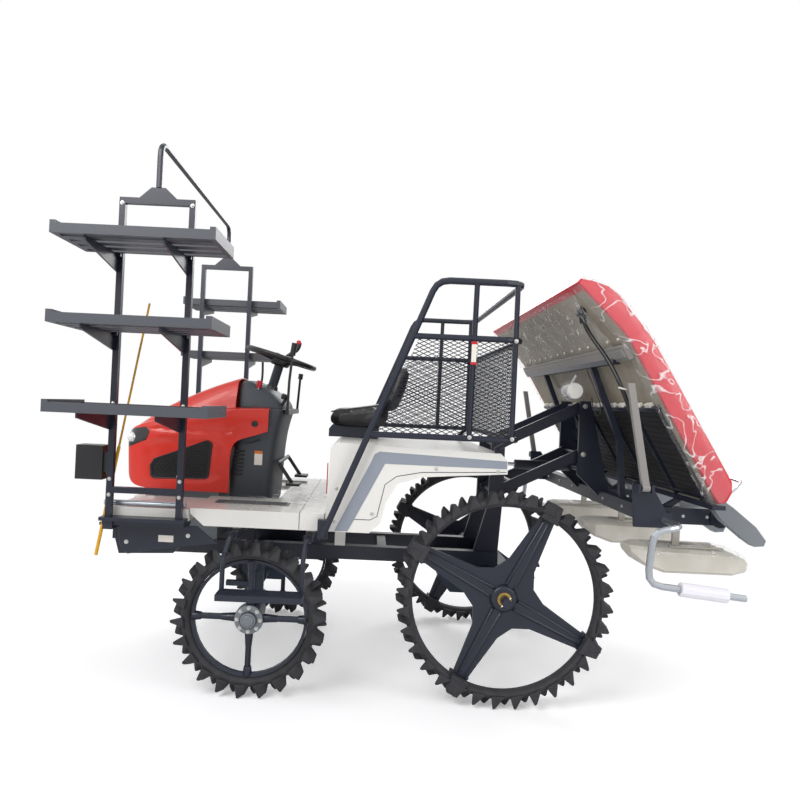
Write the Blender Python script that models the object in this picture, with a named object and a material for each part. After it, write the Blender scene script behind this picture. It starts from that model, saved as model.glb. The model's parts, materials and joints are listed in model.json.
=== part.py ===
"""Six-row riding rice transplanter, parked with its planting unit raised.

Metres, +Z up. The machine faces -X, its left side is at -Y and it stands on z = 0.
Every place below is measured from the front axle: x rearward, y to the right, z up from
the ground. The empty called machine carries all of it and puts the origin at the middle
of the whole machine's length.
"""

import math

import bmesh
import bpy
from mathutils import Matrix, Vector

# ---------------------------------------------------------------- driving dimensions
FRONT_AXLE_X = -0.6713      # where the front axle stands from the machine's middle
GAP = 0.0003                # between pieces that touch
RUNNING = 0.0007            # round a turning shaft

WHEELBASE = 1.075
HALF_TRACK = 0.571          # to the middle of each wheel
FRONT_WHEEL_R = 0.328
REAR_WHEEL_R = 0.459
TYRE_WIDTH = 0.100
REAR_STEPS = 48             # facets round the rear tyre
STAR_TURN = 63              # degrees, where the rear wheels have stopped
FRONT_TYRE_DEPTH = 0.080    # lug tip to inner edge
REAR_TYRE_DEPTH = 0.072

KINGPIN_TO_WHEEL = 0.116     # across, from the kingpin to the middle of the wheel
KINGPIN_Y = HALF_TRACK - KINGPIN_TO_WHEEL
RAIL_Y = 0.170              # chassis rails, middle
RAIL_WIDTH = 0.050
RAIL_BOTTOM = 0.505
RAIL_TOP = 0.570
RAIL_FRONT = -0.610
RAIL_REAR = 1.120

DECK_TOP = 0.790
DECK_BOTTOM = 0.718
DECK_HALF_WIDTH = 0.620
DECK_FRONT = -0.262
DECK_REAR = 0.300
DECK_SHEET = 0.010

BONNET_BASE = 0.806
BONNET_HINGE = (-0.660, 0.815)

BODY_HALF_WIDTH = 0.620
BODY_REAR = 1.060
BODY_TOP = 1.075
BODY_SHEET = 0.012

RACK_Y = 0.666              # the racks' posts
RACK_POST = 0.025           # square tube
RACK_POSTS_X = (-0.583, -0.295)
RACK_FOOT = 0.800
RACK_TOP = 2.064
SHELF_X = (-0.712, -0.112)
SHELF_Y = (0.700, 1.015)    # inner and outer edge
SHELF_RAIL = 0.046
SHELF_TOPS = (1.225, 1.550, 1.872)
ARCH_TOP = 2.300

GUARD_Y = 0.655
GUARD_TUBE_R = 0.0145
GUARD_TOP = 1.785
BASKET_RIM = 1.550
BASKET_FLOOR = 1.135
GUARD_REAR = 1.090

OUTRIGGERS_X = (-0.080, 0.235)   # carry the deck, the dash and the steps
STEP_X = (-0.090, 0.245)
STEP_Y = (0.775, 0.865)
STEP_TOP = 0.505

LINK_FRONT_X = 1.100
LINK_REAR_X = 1.520
LOWER_LINK_Z = (0.850, 1.060)   # front pin, rear pin
LINK_SPREAD_Z = 0.235           # upper pins above the lower ones
LINK_Y = 0.120
BARREL_PIN = (1.515, 0.985)
ROD_EYE = (1.125, 0.985)
PIN_R = 0.011

BEAM_X = 1.630
BEAM_Z = 0.860
BEAM_HALF = 0.030
BEAM_HALF_LENGTH = 0.830
ROW_SPACING = 0.300
CASE_YS = (-2 * ROW_SPACING, 0.0, 2 * ROW_SPACING)
CASE_BOTTOM = 0.816
CASE_TOP = 0.884
ROTOR_X = 1.955
ROTOR_Z = 0.850
ROTOR_SHAFT_R = 0.015
ROTOR_REACH = 0.132

TRAY_HALF_WIDTH = 0.880
TRAY_BOTTOM = 0.935
FLOAT_BOTTOM = 0.625
FLOAT_TOP = 0.725

GUARD_PIPE_Y = 0.985
GUARD_PIPE_R = 0.0125
FOAM_R = 0.026

MARKER_Y = 0.862
MARKER_PIN_R = 0.006
MARKER_PIVOT = (1.540, 0.985)

# ---------------------------------------------------------------- colours: r, g, b, roughness, metallic
PAINTS = {
    "frame_black": (0.012, 0.015, 0.026, 0.35, 0.0),
    "rubber": (0.024, 0.024, 0.026, 0.80, 0.0),
    "bonnet_red": (0.80, 0.055, 0.035, 0.30, 0.0),
    "tray_red": (0.68, 0.012, 0.030, 0.35, 0.0),
    "body_white": (0.84, 0.82, 0.78, 0.40, 0.0),
    "slate": (0.042, 0.050, 0.060, 0.50, 0.0),
    "shelf_grey": (0.070, 0.075, 0.085, 0.50, 0.0),
    "seat_black": (0.020, 0.020, 0.022, 0.60, 0.0),
    "cast_grey": (0.20, 0.21, 0.22, 0.50, 0.6),
    "axle_blue": (0.016, 0.030, 0.052, 0.40, 0.0),
    "float_white": (0.60, 0.58, 0.53, 0.50, 0.0),
    "foam_white": (0.85, 0.84, 0.90, 0.90, 0.0),
    "bare_pipe": (0.42, 0.44, 0.48, 0.35, 0.9),
    "pole_yellow": (0.75, 0.42, 0.02, 0.50, 0.0),
    "post_grey": (0.25, 0.24, 0.23, 0.50, 0.3),
}


def paint(name):
    """The material of that name, made on its first use."""
    material = bpy.data.materials.get(name)
    if material is None:
        red, green, blue, roughness, metallic = PAINTS[name]
        material = bpy.data.materials.new(name)
        material.use_nodes = True
        shader = material.node_tree.nodes["Principled BSDF"]
        shader.inputs["Base Color"].default_value = (red, green, blue, 1.0)
        shader.inputs["Roughness"].default_value = roughness
        shader.inputs["Metallic"].default_value = metallic
    return material


# ---------------------------------------------------------------- shapes: each returns a closed mesh
def from_rings(rings, close_ends=True, wrap=False):
    """A skin over rings of equally many points, capped at both ends or wrapped round to its start."""
    bm = bmesh.new()
    loops = [[bm.verts.new(point) for point in ring] for ring in rings]
    pairs = list(zip(loops, loops[1:]))
    if wrap:
        pairs.append((loops[-1], loops[0]))
    for one, two in pairs:
        count = len(one)
        for i in range(count):
            j = (i + 1) % count
            bm.faces.new((one[i], one[j], two[j], two[i]))
    if close_ends and not wrap:
        bm.faces.new(loops[0])
        bm.faces.new(loops[-1])
    bmesh.ops.recalc_face_normals(bm, faces=bm.faces)
    mesh = bpy.data.meshes.new("shape")
    bm.to_mesh(mesh)
    bm.free()
    return mesh


def box(low, high):
    (x0, y0, z0), (x1, y1, z1) = low, high
    return from_rings([[(x0, y0, z), (x1, y0, z), (x1, y1, z), (x0, y1, z)] for z in (z0, z1)])


def side_cut(outline, y0, y1):
    """An outline of x, z points carried across from y0 to y1."""
    return from_rings([[(x, y, z) for x, z in outline] for y in (y0, y1)])


def end_cut(outline, x0, x1):
    """An outline of y, z points carried along from x0 to x1."""
    return from_rings([[(x, y, z) for y, z in outline] for x in (x0, x1)])


def rounded(path, radius, steps=3):
    """The path with each inner corner turned into an arc of that radius."""
    points = [Vector(point) for point in path]
    result = [points[0]]
    for before, corner, after in zip(points, points[1:], points[2:]):
        into, out = (before - corner).normalized(), (after - corner).normalized()
        half = into.angle(out) / 2
        back = min(radius / math.tan(half), 0.45 * min((before - corner).length, (after - corner).length))
        start, end = corner + into * back, corner + out * back
        for step in range(steps + 1):
            t = step / steps
            result.append(start * (1 - t) ** 2 + corner * 2 * t * (1 - t) + end * t ** 2)
    result.append(points[-1])
    return result


def tube(path, radius, sides=8, turn=0.0):
    """A bar with that many sides along the path, mitred at its corners. Square bars have 4 sides."""
    points = [Vector(point) for point in path]
    tangents = []
    for i in range(len(points)):
        before = (points[i] - points[i - 1]).normalized() if i else None
        after = (points[i + 1] - points[i]).normalized() if i + 1 < len(points) else None
        tangents.append(((before or after) + (after or before)).normalized())
    normal = tangents[0].orthogonal().normalized()
    if abs(tangents[0].z) < 0.9:
        normal = tangents[0].cross(Vector((0, 0, 1))).normalized()
    elif abs(tangents[0].y) < 0.9:
        normal = tangents[0].cross(Vector((0, 1, 0))).normalized()
    rings = []
    for i, (point, tangent) in enumerate(zip(points, tangents)):
        normal = (normal - tangent * normal.dot(tangent)).normalized()
        across = tangent.cross(normal)
        bend, stretch = None, 1.0
        if 0 < i < len(points) - 1:
            into = (points[i] - points[i - 1]).normalized()
            out = (points[i + 1] - points[i]).normalized()
            if into.angle(out) > 0.01:
                bend = (out - into).normalized()
                stretch = 1 / math.cos(into.angle(out) / 2)
        ring = []
        for k in range(sides):
            angle = 2 * math.pi * (k + 0.5) / sides + turn
            offset = normal * (radius * math.cos(angle)) + across * (radius * math.sin(angle))
            if bend is not None:
                offset += bend * (offset.dot(bend) * (stretch - 1))
            ring.append(point + offset)
        rings.append(ring)
    return from_rings(rings)


def square_bar(path, width):
    return tube(path, width / math.sqrt(2), 4)


def turned(profile, centre, steps=24, closed=True):
    """A profile of radius, y points turned about the line along Y through the centre's x, z.
    A closed profile makes a ring. An open one runs from axis to axis as flat ends."""
    x, z = centre
    rings = []
    for step in range(steps):
        angle = 2 * math.pi * step / steps
        rings.append([(x + r * math.cos(angle), y, z + r * math.sin(angle)) for r, y in profile])
    if closed:
        return from_rings(rings, wrap=True)
    rings = list(map(list, zip(*rings)))
    return from_rings(rings)


def disc(centre, radius, y0, y1, steps=24):
    return turned([(radius, y0), (radius, y1)], centre, steps, closed=False)


def rod_between(start, end, radius, sides=10):
    return tube([start, end], radius, sides)


def evaluated(obj):
    bpy.context.view_layer.update()
    return bpy.data.meshes.new_from_object(obj.evaluated_get(bpy.context.evaluated_depsgraph_get()))


def combined(meshes, operation="UNION"):
    """One solid: the first mesh joined with, or cut by, all the others."""
    scene = bpy.context.scene.collection
    others = bpy.data.collections.new("others")
    scene.children.link(others)
    body = bpy.data.objects.new("body", meshes[0])
    scene.objects.link(body)
    for mesh in meshes[1:]:
        others.objects.link(bpy.data.objects.new("other", mesh))
    modifier = body.modifiers.new("join", "BOOLEAN")
    modifier.operation = operation
    modifier.operand_type = "COLLECTION"
    modifier.collection = others
    modifier.solver = "EXACT"
    result = evaluated(body)
    for helper in list(others.objects) + [body]:
        bpy.data.objects.remove(helper)
    bpy.data.collections.remove(others)
    return result


def cut(mesh, *cutters):
    for cutter in cutters:
        mesh = combined([mesh, cutter], "DIFFERENCE")
    return mesh


# ---------------------------------------------------------------- placing
def put(name, paint_name, meshes, origin=(0, 0, 0)):
    """A named piece. Its object stands at its origin, which is its joint's axis if it moves."""
    mesh = combined(meshes) if len(meshes) > 1 else meshes[0]
    mesh.name = name
    mesh.transform(Matrix.Translation(-Vector(origin)))
    mesh.shade_smooth()
    mesh.set_sharp_from_angle(angle=math.radians(35))
    mesh.materials.clear()
    mesh.materials.append(paint(paint_name))
    obj = bpy.data.objects.new(name, mesh)
    obj.location = origin
    obj.parent = bpy.data.objects["machine"]
    bpy.context.scene.collection.objects.link(obj)
    return obj


def side_name(name, side):
    return f"{name}_{'left' if side < 0 else 'right'}"


def clear_scene():
    for obj in list(bpy.data.objects):
        bpy.data.objects.remove(obj)
    machine = bpy.data.objects.new("machine", None)
    machine.location = (FRONT_AXLE_X, 0, 0)
    bpy.context.scene.collection.objects.link(machine)


# ---------------------------------------------------------------- wheels
def ring_profile(outer, inner, half_width, y, edge=0.018):
    """A tyre's section: flat outside with chamfered shoulders and a narrower inner side."""
    return [
        (outer, y - half_width + edge), (outer, y + half_width - edge),
        (outer - edge, y + half_width), (inner + edge, y + half_width * 0.55),
        (inner, y + half_width * 0.30), (inner, y - half_width * 0.30),
        (inner + edge, y - half_width * 0.55), (outer - edge, y - half_width),
    ]


def front_wheel(side):
    y = side * HALF_TRACK
    centre = (0.0, FRONT_WHEEL_R)
    axle = (0.0, y, FRONT_WHEEL_R)
    inner = FRONT_WHEEL_R - FRONT_TYRE_DEPTH
    tyre = turned(ring_profile(FRONT_WHEEL_R, inner, TYRE_WIDTH / 2, y), centre, 40)
    put(side_name("front_tyre", side), "rubber", [tyre], axle)
    hoop_r = inner - GAP
    hoop = turned([(hoop_r, y - 0.014), (hoop_r, y + 0.014), (hoop_r - 0.014, y + 0.010),
                   (hoop_r - 0.014, y - 0.010)], centre, 40)
    face = y + side * 0.024
    plate = disc(centre, 0.062, y - side * 0.012, face)
    cap = disc(centre, 0.036, face - side * 0.004, y + side * 0.048)
    spokes = []
    for quarter in range(4):
        angle = math.radians(90 * quarter)
        direction = Vector((math.cos(angle), 0, math.sin(angle)))
        middle = Vector((0, y, FRONT_WHEEL_R))
        spokes.append(tube([middle + direction * 0.045, middle + direction * (hoop_r - 0.007)], 0.013, 8))
    put(side_name("front_rim", side), "cast_grey", [hoop, plate, cap, *spokes], axle)


def rear_wheel(side):
    y = side * HALF_TRACK
    centre = (WHEELBASE, REAR_WHEEL_R)
    axle = (WHEELBASE, y, REAR_WHEEL_R)
    inner = REAR_WHEEL_R - REAR_TYRE_DEPTH
    tyre = turned(ring_profile(REAR_WHEEL_R, inner, TYRE_WIDTH / 2, y), centre, REAR_STEPS)
    put(side_name("rear_tyre", side), "rubber", [tyre], axle)
    tip, waist = inner * math.cos(math.pi / REAR_STEPS) - GAP, 0.134
    star = []
    for quarter in range(4):
        tip_angle = math.radians(STAR_TURN + 90 * quarter)
        for turn, radius in ((-0.085, tip), (0.085, tip), (0.170, 0.275), (0.360, 0.172), (0.785, waist),
                             (1.210, 0.172), (1.400, 0.275)):
            angle = tip_angle + turn
            star.append((WHEELBASE + radius * math.cos(angle), REAR_WHEEL_R + radius * math.sin(angle)))
    plate = side_cut(star, y - 0.005, y + 0.005)
    ribs = []
    for quarter in range(4):
        angle = math.radians(STAR_TURN + 90 * quarter)
        direction = Vector((math.cos(angle), 0, math.sin(angle)))
        middle = Vector((WHEELBASE, y, REAR_WHEEL_R))
        ribs.append(square_bar([middle + direction * 0.03, middle + direction * (tip - 0.012)], 0.026))
    hub = disc(centre, 0.046, y - side * 0.045, y + side * 0.020)
    stub = disc(centre, 0.020, y, y + side * 0.085, 12)
    put(side_name("rear_wheel_plate", side), "frame_black", [plate, *ribs, hub, stub], axle)


# ---------------------------------------------------------------- chassis and axles
def chassis():
    rails = []
    for y in (-RAIL_Y, RAIL_Y):
        rails.append(box((RAIL_FRONT, y - RAIL_WIDTH / 2, RAIL_BOTTOM),
                (RAIL_REAR, y + RAIL_WIDTH / 2, RAIL_TOP)))
    crosses = []
    for x in (-0.500, 0.200, 0.560, 1.090):
        crosses.append(box((x - 0.022, -RAIL_Y, RAIL_BOTTOM + 0.008),
                (x + 0.022, RAIL_Y, RAIL_TOP - 0.008)))
    # outriggers that carry the deck, the steps and the guard's feet
    out_y = DECK_HALF_WIDTH - 0.012
    for x in OUTRIGGERS_X:
        crosses.append(box((x - 0.018, -out_y, 0.665), (x + 0.018, out_y, 0.695)))
        for y in (-RAIL_Y, RAIL_Y):
            crosses.append(box((x - 0.018, y - 0.018, RAIL_TOP - 0.01), (x + 0.018, y + 0.018, 0.680)))
    # rear mast: two uprights with the four link ears at their tops
    for y in (-RAIL_Y, RAIL_Y):
        crosses.append(side_cut([(1.000, RAIL_TOP - 0.01), (1.120, RAIL_TOP - 0.01), (1.135, 0.840),
                (1.135, 1.106),
                                 (1.070, 1.106), (1.065, 0.800)], y - 0.012, y + 0.012))
    top_z = LOWER_LINK_Z[0] + LINK_SPREAD_Z
    for z in (LOWER_LINK_Z[0], top_z):
        crosses.append(rod_between((LINK_FRONT_X, -RAIL_Y - 0.02, z),
                (LINK_FRONT_X, RAIL_Y + 0.02, z), PIN_R))
    x, z = ROD_EYE
    for side in (-1, 1):
        crosses.append(rod_between((x, side * 0.0105, z), (x, side * RAIL_Y, z), PIN_R))
    put("chassis_frame", "frame_black", rails + crosses)
    put("engine_block", "cast_grey", [
        box((-0.545, -0.190, RAIL_TOP + GAP), (-0.240, 0.190, 1.000)),
    ])


def front_axle():
    hub_z = FRONT_WHEEL_R
    beam_z = 0.462
    beam = rod_between((0, -KINGPIN_Y + 0.052, beam_z), (0, KINGPIN_Y - 0.052, beam_z), 0.040 - GAP, 12)
    case = side_cut([(-0.110, 0.440), (-0.080, 0.395), (0.085, 0.395), (0.140, 0.440), (0.140, 0.500),
                     (0.100, RAIL_BOTTOM - GAP), (-0.100, RAIL_BOTTOM - GAP)], -0.200, 0.200)
    heads = []
    for side in (-1, 1):
        y = side * KINGPIN_Y
        low, high = sorted((y + side * 0.030, y - side * 0.085))
        heads.append(box((-0.030, low, 0.505), (0.030, high, 0.560)))
        low, high = sorted((y - side * 0.038, y - side * 0.084))
        heads.append(box((-0.028, low, 0.440), (0.028, high, 0.520)))
    put("front_axle", "axle_blue", [beam, case, *heads])
    for side in (-1, 1):
        y = side * KINGPIN_Y
        drop = tube([(0, y, 0.505 - GAP), (0, y, hub_z - 0.045)], 0.036, 12)
        hub = disc((0, hub_z), 0.048, y - side * 0.020, y + side * (HALF_TRACK - KINGPIN_Y - 0.046))
        spindle = disc((0, hub_z), 0.018, y, side * (HALF_TRACK - 0.012) - side * GAP, 12)
        arm = box((-0.130, y - 0.012, 0.430), (0.010, y + 0.012, 0.452))
        put(side_name("knuckle", side), "axle_blue", [drop, hub, spindle, arm], (0, y, hub_z))


def rear_axle():
    z = REAR_WHEEL_R
    tube_end = KINGPIN_Y - 0.055
    tube_across = rod_between((WHEELBASE, -tube_end, z), (WHEELBASE, tube_end, z), 0.042, 12)
    front, rear = WHEELBASE - 0.235, WHEELBASE + 0.115
    gearcase = side_cut([
        (front + 0.060, 0.360),
        (rear - 0.060, 0.360),
        (rear, 0.420),
        (rear, RAIL_BOTTOM - GAP),
        (front, RAIL_BOTTOM - GAP),
        (front, 0.430),
    ], -0.160, 0.160)
    drops = []
    for side in (-1, 1):
        drops.append(disc((WHEELBASE, z), 0.085, side * (KINGPIN_Y - 0.085), side * KINGPIN_Y))
        drops.append(disc((WHEELBASE, z), 0.026, side * (KINGPIN_Y - 0.005),
                side * (HALF_TRACK - 0.045) - side * GAP, 14))
    put("rear_axle_case", "axle_blue", [tube_across, gearcase, *drops])


# ---------------------------------------------------------------- deck and body panels
def front_carrier():
    """Black brackets under the nose, with the cross beam that carries the racks' feet."""
    x0, x1 = -0.600, -0.560
    pieces = [box((x0, -RACK_Y - 0.020, 0.700), (x1, RACK_Y + 0.020, 0.735))]
    for side in (-1, 1):
        low, high = sorted((side * 0.560, side * 0.585))
        pieces.append(side_cut([(-0.604, 0.715), (-0.565, 0.580), (-0.335, 0.590), (-0.285, 0.640),
                (-0.275, 0.734),
                                (-0.604, 0.734)], low, high))
        low, high = sorted((side * 0.160, side * 0.575))
        pieces.append(box((x0 + 0.002, low, 0.640), (x1 - 0.002, high, 0.680)))
        low, high = sorted((side * 0.150, side * 0.190))
        pieces.append(box((x0 + 0.001, low, RAIL_TOP + GAP), (x1 - 0.001, high, 0.720)))
        low, high = sorted((side * 0.570, side * (RACK_Y + 0.012)))
        pieces.append(box((-0.606, low, 0.716), (-0.270, high, 0.733)))
    pieces.append(box((-0.645, -0.6047, 0.700), (-0.595, -0.583, 0.712)))
    put("front_carrier", "frame_black", pieces)


def deck():
    outline = [(DECK_FRONT, DECK_TOP), (DECK_FRONT, DECK_BOTTOM + 0.050), (DECK_FRONT + 0.060, DECK_BOTTOM),
               (DECK_REAR, DECK_BOTTOM), (DECK_REAR, DECK_TOP)]
    slab = side_cut(outline, -DECK_HALF_WIDTH, DECK_HALF_WIDTH)
    hollow = box((DECK_FRONT + DECK_SHEET, -DECK_HALF_WIDTH + DECK_SHEET, DECK_BOTTOM - 0.05),
                 (DECK_REAR - DECK_SHEET, DECK_HALF_WIDTH - DECK_SHEET, DECK_TOP - DECK_SHEET))
    tunnel = box((DECK_FRONT - 0.05, -0.245, DECK_BOTTOM - 0.06), (0.060, 0.245, DECK_TOP + 0.05))
    feet = [box((x - 0.016, y - 0.030, 0.695 + GAP), (x + 0.016, y + 0.030, DECK_TOP - DECK_SHEET / 2))
            for x in OUTRIGGERS_X for y in (-0.500, 0.500)]
    put("floor_deck", "body_white", [cut(slab, hollow, tunnel), *feet])
    z, front, rear = 0.735 + GAP, -0.604, DECK_FRONT - 0.004
    panels = [box((front + 0.001, -0.320, z), (-0.562, 0.320, 0.785)),
              box((front + 0.002, -0.256, 0.780), (-0.575, 0.256, BONNET_BASE - GAP))]
    for side in (-1, 1):
        low, high = sorted((side * 0.300, side * 0.634))
        panels.append(side_cut([(front, z), (rear, z), (rear, 0.786), (front + 0.02, 0.786),
                (front, 0.770)], low, high))
    put("front_step_panel", "body_white", panels)


def bonnet():
    sections = (
        # x, base half width, base z, shoulder half width, shoulder z, crown half width, crown z
        (-0.690, 0.205, 0.880, 0.200, 1.040, 0.130, 1.085),
        (-0.600, 0.245, BONNET_BASE, 0.250, 1.075, 0.165, 1.150),
        (-0.440, 0.268, BONNET_BASE, 0.275, 1.130, 0.165, 1.255),
        (-0.290, 0.272, BONNET_BASE, 0.282, 1.180, 0.145, 1.325),
        (-0.165, 0.272, BONNET_BASE, 0.284, 1.212, 0.125, 1.360),
    )

    def ring(section, inset):
        x, base_y, base_z, shoulder_y, shoulder_z, crown_y, crown_z = section
        half = [(base_y, base_z), (base_y, shoulder_z - 0.11), (shoulder_y, shoulder_z - 0.02),
                (shoulder_y - 0.020, shoulder_z + 0.02), (crown_y, crown_z)]
        half = [(y - inset, z - (inset if i else 0.10 * (inset > 0))) for i, (y, z) in enumerate(half)]
        return [(x, -y, z) for y, z in half] + [(x, y, z) for y, z in reversed(half)]

    shell = from_rings([ring(section, 0) for section in sections])
    wall = 0.008
    inner = [(section[0] + (wall if i == 0 else 0), *section[1:]) for i, section in enumerate(sections)]
    inner[-1] = (sections[-1][0] + 0.05, *sections[-1][1:])
    hollow = from_rings([ring(section, wall) for section in inner])
    flaps = []
    for side in (-1, 1):
        low, high = sorted((side * 0.266, side * 0.282))
        flaps.append(side_cut([(-0.180, 0.850), (-0.170, 0.850), (-0.140, 1.050), (-0.020, 1.110),
                (0.000, 1.208),
                               (-0.180, 1.208)], low, high))
    put("bonnet", "bonnet_red", [cut(shell, hollow), *flaps], (BONNET_HINGE[0], 0, BONNET_HINGE[1]))


def dash():
    y = 0.240
    lower = side_cut([(-0.120, 0.800), (0.020, 0.800), (0.036, 1.040), (0.066, 1.215),
            (-0.110, 1.215), (-0.110, 1.050)],
                     -y, y)
    upper = side_cut([(-0.120, 1.205), (0.066, 1.205), (0.050, 1.250), (-0.095, 1.350),
            (-0.140, 1.350)], -0.200, 0.200)
    tunnel_floor = box((-0.119, -y + 0.001, 0.695 + GAP), (0.019, y - 0.001, 0.805))
    put("dash_cowl", "slate", [lower, upper, tunnel_floor])
    column_foot = Vector((-0.040, 0, 1.300))
    column_top = Vector((-0.004, 0, 1.432))
    axis = (column_top - column_foot).normalized()
    sleeve = tube([column_foot - axis * 0.02, column_top], 0.024, 12)
    put("steering_column", "frame_black", [cut(sleeve, copy_of("dash_cowl", GAP))])
    hub = column_top + axis * (0.0005 + 0.030)
    across = Vector((0, 1, 0))
    forward = across.cross(axis)
    rim = []
    for step in range(28):
        angle = 2 * math.pi * step / 28
        radial = forward * math.cos(angle) + across * math.sin(angle)
        centre = hub + radial * 0.172 + axis * 0.012
        rim.append([centre + (radial * math.cos(a) + axis * math.sin(a)) * 0.013
                    for a in (2 * math.pi * k / 6 for k in range(6))])
    spokes = []
    for degrees in (90, 210, 330):
        radial = forward * math.cos(math.radians(degrees)) + across * math.sin(math.radians(degrees))
        spokes.append(tube([hub + radial * 0.015, hub + radial * 0.170 + axis * 0.012], 0.009, 6))
    boss = tube([column_top + axis * 0.0005, hub + axis * 0.020], 0.040, 12)
    put("steering_wheel", "seat_black", [from_rings(rim, wrap=True), boss, *spokes], column_top)
    quadrant_x = 0.066 + GAP
    levers = [
        box((quadrant_x, -0.222, 1.190), (quadrant_x + 0.018, 0.222, 1.214)),
        tube(rounded([(0.075, -0.212, 1.205), (0.078, -0.212, 1.350), (0.088, -0.212, 1.480)],
                0.05), 0.007, 6),
        tube([(0.0875, -0.212, 1.475), (0.096, -0.212, 1.535)], 0.014, 8),
        tube([(0.075, 0.212, 1.205), (0.085, 0.212, 1.380)], 0.007, 6),
        tube([(0.0848, 0.212, 1.375), (0.088, 0.212, 1.405)], 0.013, 8),
    ]
    put("control_levers", "seat_black", levers)
    pedals = [
        tube([(0.042, -0.190, 0.955), (0.110, -0.190, 0.860)], 0.009, 6),
        box((0.085, -0.235, 0.850), (0.150, -0.145, 0.862)),
        tube([(0.042, 0.190, 0.955), (0.110, 0.190, 0.860)], 0.009, 6),
        box((0.085, 0.145, 0.850), (0.150, 0.235, 0.862)),
        tube([(0.0403, -0.205, 0.955), (0.0403, 0.205, 0.955)], 0.010, 8),
    ]
    put("pedals", "seat_black", pedals)


def copy_of(name, grow):
    """The named piece's solid in machine coordinates, grown a little along its normals, as a cutter."""
    obj = bpy.data.objects[name]
    mesh = obj.data.copy()
    mesh.transform(Matrix.Translation(obj.location))
    mesh.update()
    bm = bmesh.new()
    bm.from_mesh(mesh)
    for vert in bm.verts:
        vert.co += vert.normal * grow * 1.7
    bm.to_mesh(mesh)
    bm.free()
    return mesh


def rear_body():
    outline = [
        (0.330, DECK_BOTTOM), (0.490, DECK_BOTTOM), (0.535, 0.760), (0.555, 0.850), (0.600, 0.930),
                (0.700, 0.962),
        (0.860, 0.975), (BODY_REAR, 0.990), (BODY_REAR, 1.045), (BODY_REAR - 0.03, BODY_TOP),
                (0.345, 1.092),
        (0.315, 1.070), (0.304, 0.800), (0.304, DECK_BOTTOM),
    ]
    solid = side_cut(outline, -BODY_HALF_WIDTH, BODY_HALF_WIDTH)
    sheet = BODY_SHEET
    inner = [(0.304 + sheet, 0.600), (1.030, 0.600), (BODY_REAR - sheet, 0.985), (BODY_REAR - sheet, 1.040),
             (BODY_REAR - 0.040, BODY_TOP - sheet), (0.350, 1.092 - sheet), (0.315 + sheet, 1.065),
                     (0.304 + sheet, 0.80)]
    hollow = side_cut(inner, -BODY_HALF_WIDTH + sheet, BODY_HALF_WIDTH - sheet)
    feet = [box((0.330, y - 0.025, RAIL_TOP + GAP), (0.380, y + 0.025, 1.086)) for y in (-RAIL_Y, RAIL_Y)]
    put("rear_body", "body_white", [cut(solid, hollow), *feet])
    base = side_cut([(0.275, 1.0924), (0.520, 1.0924), (0.520, 1.150), (0.290, 1.150),
            (0.275, 1.130)], -0.150, 0.150)
    put("seat_base", "frame_black", [base])
    seat = [side_cut([(0.262, 1.165), (0.280, 1.1505), (0.540, 1.1505), (0.575, 1.180),
            (0.585, 1.260), (0.500, 1.232),
                      (0.360, 1.215), (0.285, 1.216), (0.262, 1.195)], -0.225, 0.225),
            side_cut([(0.520, 1.190), (0.575, 1.180), (0.660, 1.430), (0.640, 1.462),
                    (0.600, 1.455), (0.515, 1.240)],
                     -0.205, 0.205)]
    put("seat", "seat_black", seat)


# ---------------------------------------------------------------- racks at the nose
def rack(side):
    y = side * RACK_Y
    pieces = []
    for x in RACK_POSTS_X:
        pieces.append(square_bar([(x, y, RACK_FOOT - 0.063), (x, y, RACK_TOP)], RACK_POST))
    front, rear = RACK_POSTS_X
    half = RACK_POST / 2
    for z in (RACK_TOP - half, RACK_FOOT + 0.060):
        pieces.append(square_bar([(front - half, y, z), (rear + half, y, z)], RACK_POST))
    pieces.append(side_cut([(-0.520, RACK_TOP - 0.001), (-0.358, RACK_TOP - 0.001), (-0.410, 2.110),
            (-0.468, 2.110)],
                           y - 0.006, y + 0.006))
    pieces.append(box((front - 0.030, min(y, y + side * 0.004) - 0.028, 0.7355),
            (rear + 0.030, max(y, y + side * 0.004) + 0.028, 0.750)))
    for top in SHELF_TOPS:
        under = top - SHELF_RAIL - GAP
        for x in RACK_POSTS_X:
            low, high = sorted((x - half, x - half + 0.008))
            outline = [(y, under), (side * (SHELF_Y[1] - 0.02), under),
                    (side * (SHELF_Y[1] - 0.02), under - 0.018),
                       (y, under - 0.075)]
            pieces.append(end_cut(outline, low, high))
    put(side_name("rack", side), "frame_black", pieces)
    for number, top in enumerate(SHELF_TOPS, 1):
        shelf(side, number, top)


def shelf(side, number, top):
    """An open tray: a raised frame with slats that run along the machine."""
    inner_y, outer_y = SHELF_Y
    x0, x1 = SHELF_X
    low = top - SHELF_RAIL
    bar = 0.022
    pieces = []
    for a, b in ((inner_y, inner_y + bar), (outer_y - bar, outer_y)):
        ya, yb = sorted((side * a, side * b))
        pieces.append(box((x0, ya, low), (x1, yb, top - 0.010)))
    ya, yb = sorted((side * inner_y, side * outer_y))
    for xa in (x0, x1 - bar):
        pieces.append(box((xa, ya, low), (xa + bar, yb, top)))
    slat_count, slat_width = 3, 0.050
    pitch = (outer_y - inner_y) / (slat_count + 1)
    for slat in range(slat_count):
        middle = side * (inner_y + pitch * (slat + 1))
        pieces.append(box((x0 + 0.01, middle - slat_width / 2, low),
                (x1 - 0.01, middle + slat_width / 2, low + 0.012)))
    put(f"{side_name('shelf', side)}_{number}", "shelf_grey", pieces)


def arch():
    x = -0.439
    foot = 2.110 + GAP
    path = rounded([(x, -RACK_Y, foot), (x, -RACK_Y, ARCH_TOP), (x, RACK_Y, ARCH_TOP),
            (x, RACK_Y, foot)], 0.060, 4)
    put("rack_arch", "frame_black", [tube(path, 0.0125)])


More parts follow.
